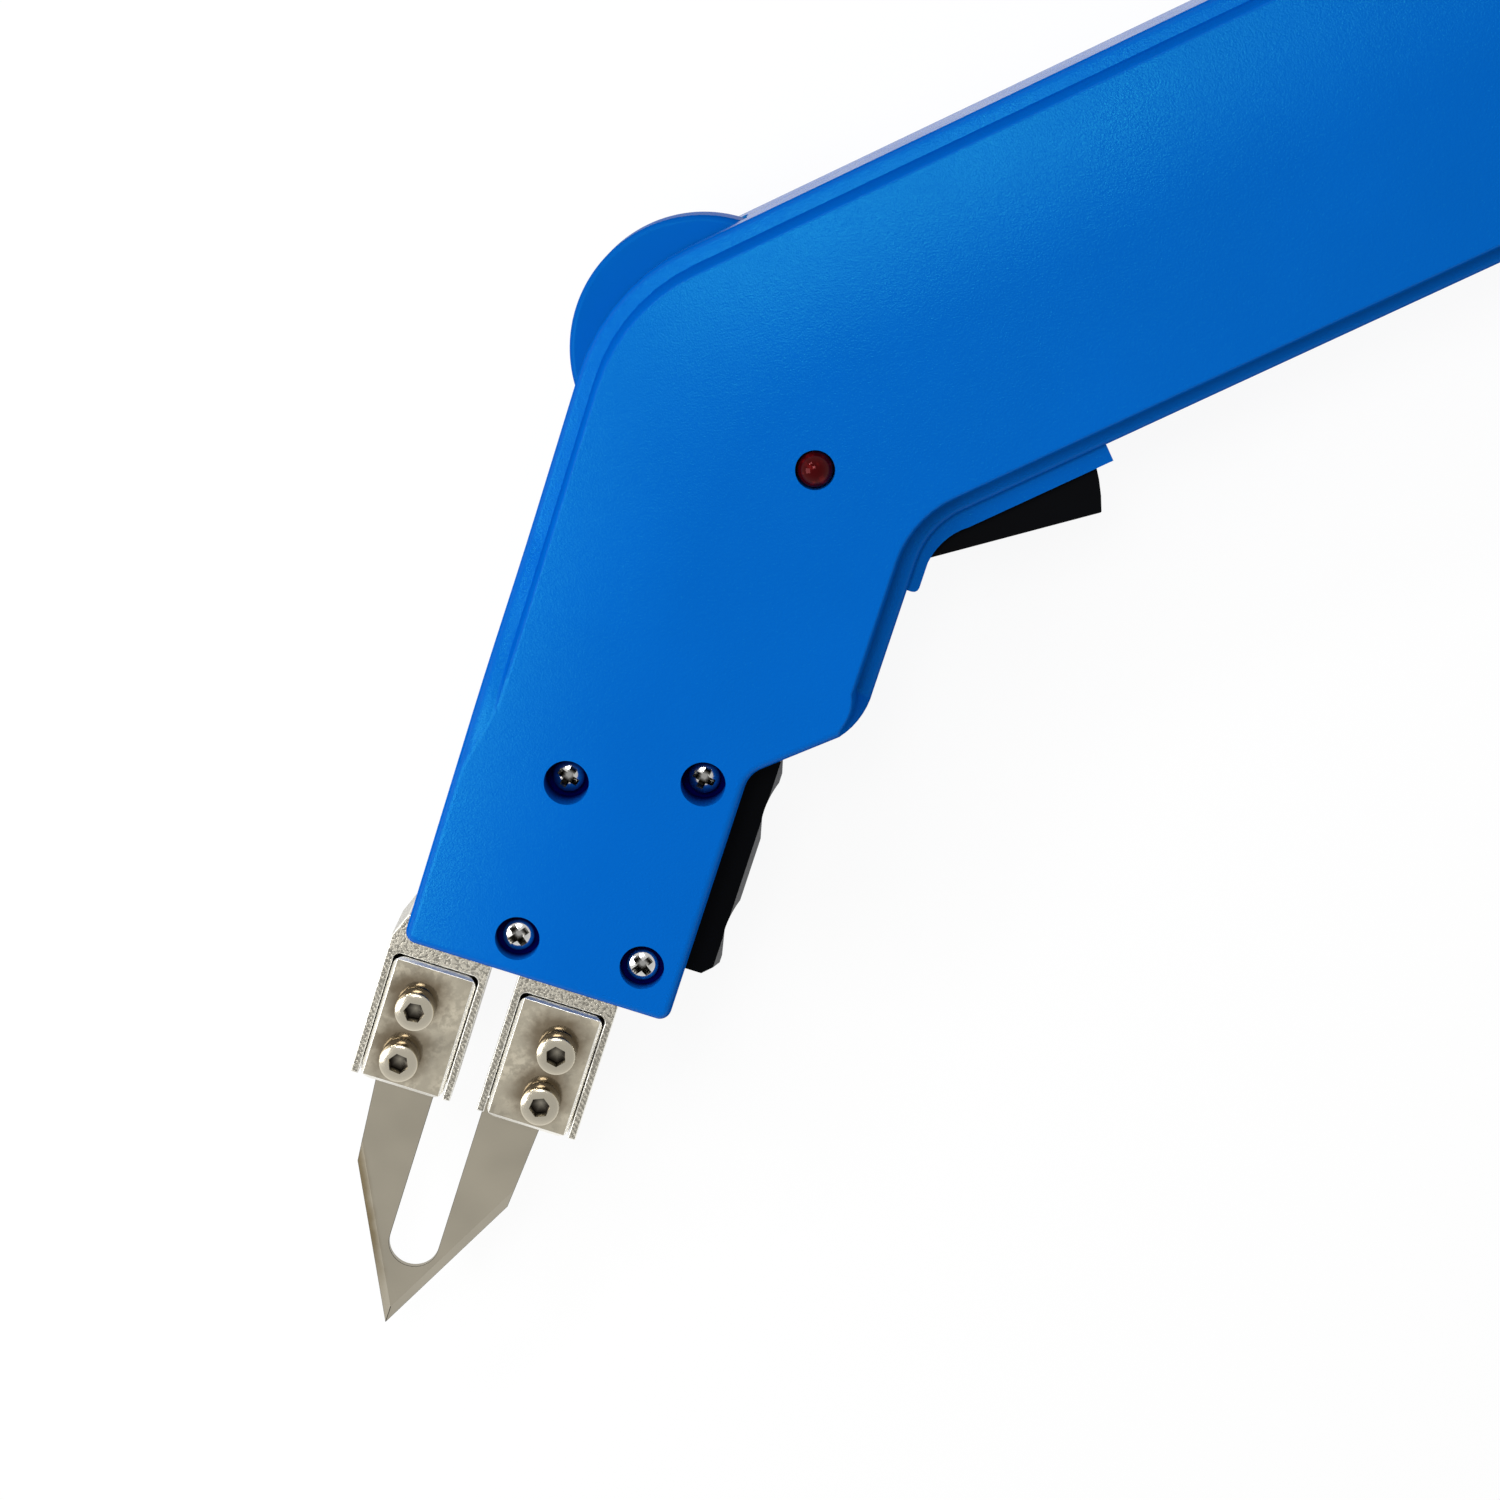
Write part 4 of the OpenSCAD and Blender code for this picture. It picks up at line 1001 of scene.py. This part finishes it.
    def build(self, palette: Palette) -> Piece:
        """Makes the row.

        Args:
            palette: materials.

        Returns:
            The finished piece.
        """
        places = screw_places(self.node)
        points = bpy.data.meshes.new(self.node + "_places")
        points.from_pydata([tuple(screw.top) for screw in places], [], [])
        points.attributes.new("facing", "FLOAT_VECTOR", "POINT")
        points.attributes.new("length", "FLOAT", "POINT")
        facing, length = points.attributes["facing"], points.attributes["length"]
        for index, screw in enumerate(places):
            facing.data[index].vector = (0, 0, math.radians(self.turns[index % len(self.turns)]))
            length.data[index].value = screw.length - self.head_height * MM
        row = link(self.node + "_row", points)
        material = palette.by_slot[self.finish]
        template = self.head(material)
        tree, keys = self.tree()
        pattern = row.modifiers.new("pattern", "NODES")
        pattern.node_group = tree
        given = {"Head": template, "Head Radius": places[0].radius * self.swell,
                 "Head Height": self.head_height * MM, "Shank Radius": self.shank * MM, "Material": material}
        for name, value in given.items():
            pattern[keys[name]] = value
        mesh = baked(row)
        for used in (row, template):
            bpy.data.objects.remove(used)
        piece = link(self.node + "_set", mesh)
        settle(piece, Body.FIXED, palette.node_slot[self.node], self.node)
        return piece


def housing_screws(node: str, turns: tuple[float, ...]) -> FastenerRow:
    """The cross-head screws that hold the housing together.

    Args:
        node: name of the node.
        turns: turn of each drive recess.

    Returns:
        The row.
    """
    return FastenerRow(node, Recess.CROSS, head_height=1.9, crown=0.42, recess_wide=0.72, recess_deep=0.8,
                       shank=1.2, turns=turns, finish="screw_chrome", swell=1.1)


@dataclass
class Housing:
    """The two moulded halves, the wheel and the lamp, with sizes in millimetres."""

    # Radius of the painted shade in the bores, and how far below the top it starts.
    bore: float = 3.2
    lip: float = 0.6
    rows: tuple[FastenerRow, ...] = field(default_factory=lambda: (
        housing_screws("nose_screws", (8.0, 12.0, 30.0, 38.0)), housing_screws("rear_screws", (15.0, 50.0))))

    def build(self, palette: Palette) -> None:
        """Makes the skins of the housing.

        Args:
            palette: materials.
        """
        near = RoundedNode("left_housing", smooth=50.0).build(palette)
        # Paints shade into the bores over the screw heads.
        mark_recess_shade(near.data, self.bore_shade(near.data))
        RoundedNode("right_housing", smooth=50.0).build(palette)
        RoundedNode("temperature_wheel", Body.WHEEL, smooth=35.0).build(palette)
        RoundedNode("indicator_lamp").build(palette)
        for row in self.rows:
            row.build(palette)

    def bore_shade(self, mesh: bpy.types.Mesh) -> Callable[[Vector], float]:
        """Tells which points lie in the bores over the screw heads, which get painted shade.

        Args:
            mesh: near half of the housing.

        Returns:
            A function of a point.
        """
        axes = [screw.top.xy for row in self.rows for screw in screw_places(row.node)]
        floor = max(point.co.z for point in mesh.vertices) - self.lip * MM

        def depth(point: Vector) -> float:
            """1 for painted shade in a bore, 0 elsewhere."""
            near = min((point.xy - axis).length for axis in axes)
            return 1.0 if near < self.bore * MM and point.z < floor else 0.0

        return depth


@dataclass
class Controls:
    """Trigger and guide shoe in black plastic, with edge roundings in millimetres and a painted sheen on the
    shoe's bevels.
    """

    trigger_edge: float = 0.15
    shoe_edge: float = 0.12
    shoe_sheen_bevels: Span = (0.3, 0.9)

    def build(self, palette: Palette) -> None:
        """Makes the black mouldings.

        Args:
            palette: materials.
        """
        RoundedNode("trigger", Body.TRIGGER, self.trigger_edge).build(palette)
        shoe = RoundedNode("guide_shoe", edge=self.shoe_edge).build(palette)
        # The shoe's bevels get a painted sheen in lighter grey.
        refinish(shoe, self.shoe_sheen_bevels, palette.by_slot["black_plastic_edge"])


@dataclass
class Cutter:
    """Carriers, clamp plates, their screws and the blade, with edge roundings in millimetres."""

    carrier_edge: float = 0.18
    plate_edge: float = 0.3
    plate_bevels: Span = (0.2, 0.98)
    blade_edge: float = 0.15
    ground_faces: Span = (0.8, 0.998)
    # The cap screws get a painted dark reflection on their side walls.
    caps: FastenerRow = field(default_factory=lambda: FastenerRow(
        "clamp_screws", Recess.HEX, head_height=3.0, crown=0.12, recess_wide=0.53, recess_deep=0.6,
        shank=1.45, turns=(10.0, 24.0, 40.0, 5.0), painted_wall_shade=0.5))

    def build(self, palette: Palette) -> None:
        """Makes the working end.

        Args:
            palette: materials.
        """
        # The bevels of carriers and plates get a painted highlight.
        bright = "polished_edge"
        for side in ("upper", "lower"):
            RoundedNode("carrier_" + side, edge=self.carrier_edge, strip=bright).build(palette)
            plate = RoundedNode("clamp_plate_" + side, edge=self.plate_edge, strip=bright).build(palette)
            refinish(plate, self.plate_bevels, palette.by_slot[bright])
        # The blade's rounded edges get painted shade in near-black steel.
        blade = RoundedNode("blade", edge=self.blade_edge, smooth=20.0, strip="blade_edge").build(palette)
        refinish(blade, self.ground_faces, palette.by_slot["blade_ground"])
        self.caps.build(palette)


@dataclass(frozen=True)
class SoftLamp:
    """A square light: its place along and up the picture from the aim, height, side and watts."""

    name: str
    right: float
    up: float
    height: float
    size: float
    power: float


def seen_rays(tree: bpy.types.NodeTree) -> Socket:
    """Tells rays that show a surface, straight, mirrored or through glass, from rays that light it.

    Args:
        tree: node tree of a material or of the world.

    Returns:
        An output of 1 for rays that show and 0 for others.
    """
    rays = tree.nodes.new("ShaderNodeLightPath")
    seen = rays.outputs["Is Camera Ray"]
    for kind in ("Is Glossy Ray", "Is Transmission Ray"):
        either = tree.nodes.new("ShaderNodeMath")
        either.operation = "MAXIMUM"
        tree.links.new(seen, either.inputs[0])
        tree.links.new(rays.outputs[kind], either.inputs[1])
        seen = either.outputs[0]
    return seen


@dataclass
class Studio:
    """Floor, light and camera, in metres and degrees."""

    eye: tuple[float, float, float] = (0.03476, 0.04051, 0.438)
    aim: tuple[float, float, float] = (-0.0122, -0.0390, 0.038)
    image_turn: float = 25.0
    lens: float = 74.88
    sensor: float = 36.0
    clip: Span = (0.01, 20.0)
    floor_half: float = 3.0
    floor_drop: float = 0.0003
    floor_colour: Colour = (0.9, 0.9, 0.9)
    floor_glow: float = 1.02
    floor_glow_share: float = 0.9
    soft_light: float = 0.35
    overhead: float = 0.6
    dome: Span = (0.35, 0.95)
    lamps: tuple[SoftLamp, ...] = (
        SoftLamp("key", right=-0.06, up=0.21, height=0.6, size=0.15, power=0.98),
        SoftLamp("fill", right=-0.34, up=-0.02, height=0.38, size=0.25, power=1.17),
        SoftLamp("spark", right=-0.45, up=0.5, height=0.55, size=0.09, power=0.6),
        SoftLamp("second_spark", right=-0.3, up=0.58, height=0.55, size=0.09, power=0.6),
    )

    def image_axes(self) -> tuple[Vector, Vector]:
        """Image right and image up, laid on the floor."""
        turn = math.radians(self.image_turn)
        return Vector((math.cos(turn), -math.sin(turn), 0)), Vector((math.sin(turn), math.cos(turn), 0))

    def camera(self) -> None:
        """Sets the camera at the photograph's place."""
        right, _ = self.image_axes()
        look = (Vector(self.aim) - Vector(self.eye)).normalized()
        right = (right - look * right.dot(look)).normalized()
        up = right.cross(look)
        data = bpy.data.cameras.new("view")
        data.lens = self.lens
        data.sensor_width = self.sensor
        data.clip_start, data.clip_end = self.clip
        camera = bpy.data.objects.new("view", data)
        turn = Matrix((right, up, -look)).transposed().to_4x4()
        camera.matrix_world = Matrix.Translation(self.eye) @ turn
        bpy.context.scene.collection.objects.link(camera)
        bpy.context.scene.camera = camera

    def floor(self) -> None:
        """Lays a white floor that keeps a faint shadow."""
        shape = bmesh.new()
        bmesh.ops.create_grid(shape, x_segments=1, y_segments=1, size=self.floor_half)
        graph = ShaderGraph("floor_white")
        graph.set(base_color=self.floor_colour, roughness=0.9, specular_ior_level=0.0)
        glow = graph.add("ShaderNodeEmission")
        glow.inputs["Strength"].default_value = self.floor_glow
        mix = graph.add("ShaderNodeMixShader")
        share = graph.maths("MULTIPLY", seen_rays(graph.tree), self.floor_glow_share)
        graph.wire(share, mix.inputs["Fac"])
        graph.wire(graph.shader.outputs["BSDF"], mix.inputs[1])
        graph.wire(glow.outputs["Emission"], mix.inputs[2])
        graph.wire(mix.outputs["Shader"], graph.tree.nodes["Material Output"].inputs["Surface"])
        floor = place_mesh("floor", shape, graph.material)
        floor.data.transform(Matrix.Translation((0, 0, -self.floor_drop)))

    def hang(self, lamp: SoftLamp) -> None:
        """Hangs one soft light that faces the tool.

        Args:
            lamp: the light.
        """
        along, across = self.image_axes()
        foot = Vector((self.aim[0], self.aim[1], 0))
        place = foot + along * lamp.right + across * lamp.up + Vector((0, 0, lamp.height))
        data = bpy.data.lights.new(lamp.name, "AREA")
        data.shape = "SQUARE"
        data.size = lamp.size
        data.energy = lamp.power
        light = bpy.data.objects.new(lamp.name, data)
        turn = (Vector(self.aim) - place).to_track_quat("-Z", "Y").to_matrix().to_4x4()
        light.matrix_world = Matrix.Translation(place) @ turn
        bpy.context.scene.collection.objects.link(light)

    def world(self) -> None:
        """Surroundings white at eye height and greyer overhead to the eye, softer as light."""
        world = bpy.data.worlds.new("studio")
        world.use_nodes = True
        tree = world.node_tree
        ground = tree.nodes["Background"]
        ground.inputs["Color"].default_value = (1, 1, 1, 1)
        height = tree.nodes.new("ShaderNodeSeparateXYZ")
        tree.links.new(tree.nodes.new("ShaderNodeTexCoord").outputs["Generated"], height.inputs["Vector"])
        dome = tree.nodes.new("ShaderNodeMapRange")
        dome.interpolation_type = "SMOOTHSTEP"
        for key, value in zip(("From Min", "From Max", "To Min", "To Max"), (*self.dome, 1.0, self.overhead)):
            dome.inputs[key].default_value = value
        tree.links.new(height.outputs["Z"], dome.inputs["Value"])
        level = tree.nodes.new("ShaderNodeMapRange")
        level.inputs["To Min"].default_value = self.soft_light
        tree.links.new(dome.outputs["Result"], level.inputs["To Max"])
        tree.links.new(seen_rays(tree), level.inputs["Value"])
        tree.links.new(level.outputs["Result"], ground.inputs["Strength"])
        bpy.context.scene.world = world

    def build(self) -> None:
        """Makes the studio."""
        self.camera()
        self.floor()
        self.world()
        for lamp in self.lamps:
            self.hang(lamp)
        bpy.context.scene.view_settings.view_transform = "Standard"


def main() -> None:
    """Builds the tool and its studio."""
    logging.basicConfig(level=logging.INFO, format="%(message)s")
    palette = Palette(FINISHES)
    for node in frame["nodes"]:
        palette.dress(node)
    Studio().build()
    Housing().build(palette)
    Controls().build(palette)
    Cutter().build(palette)


if __name__ == "__main__":
    main()
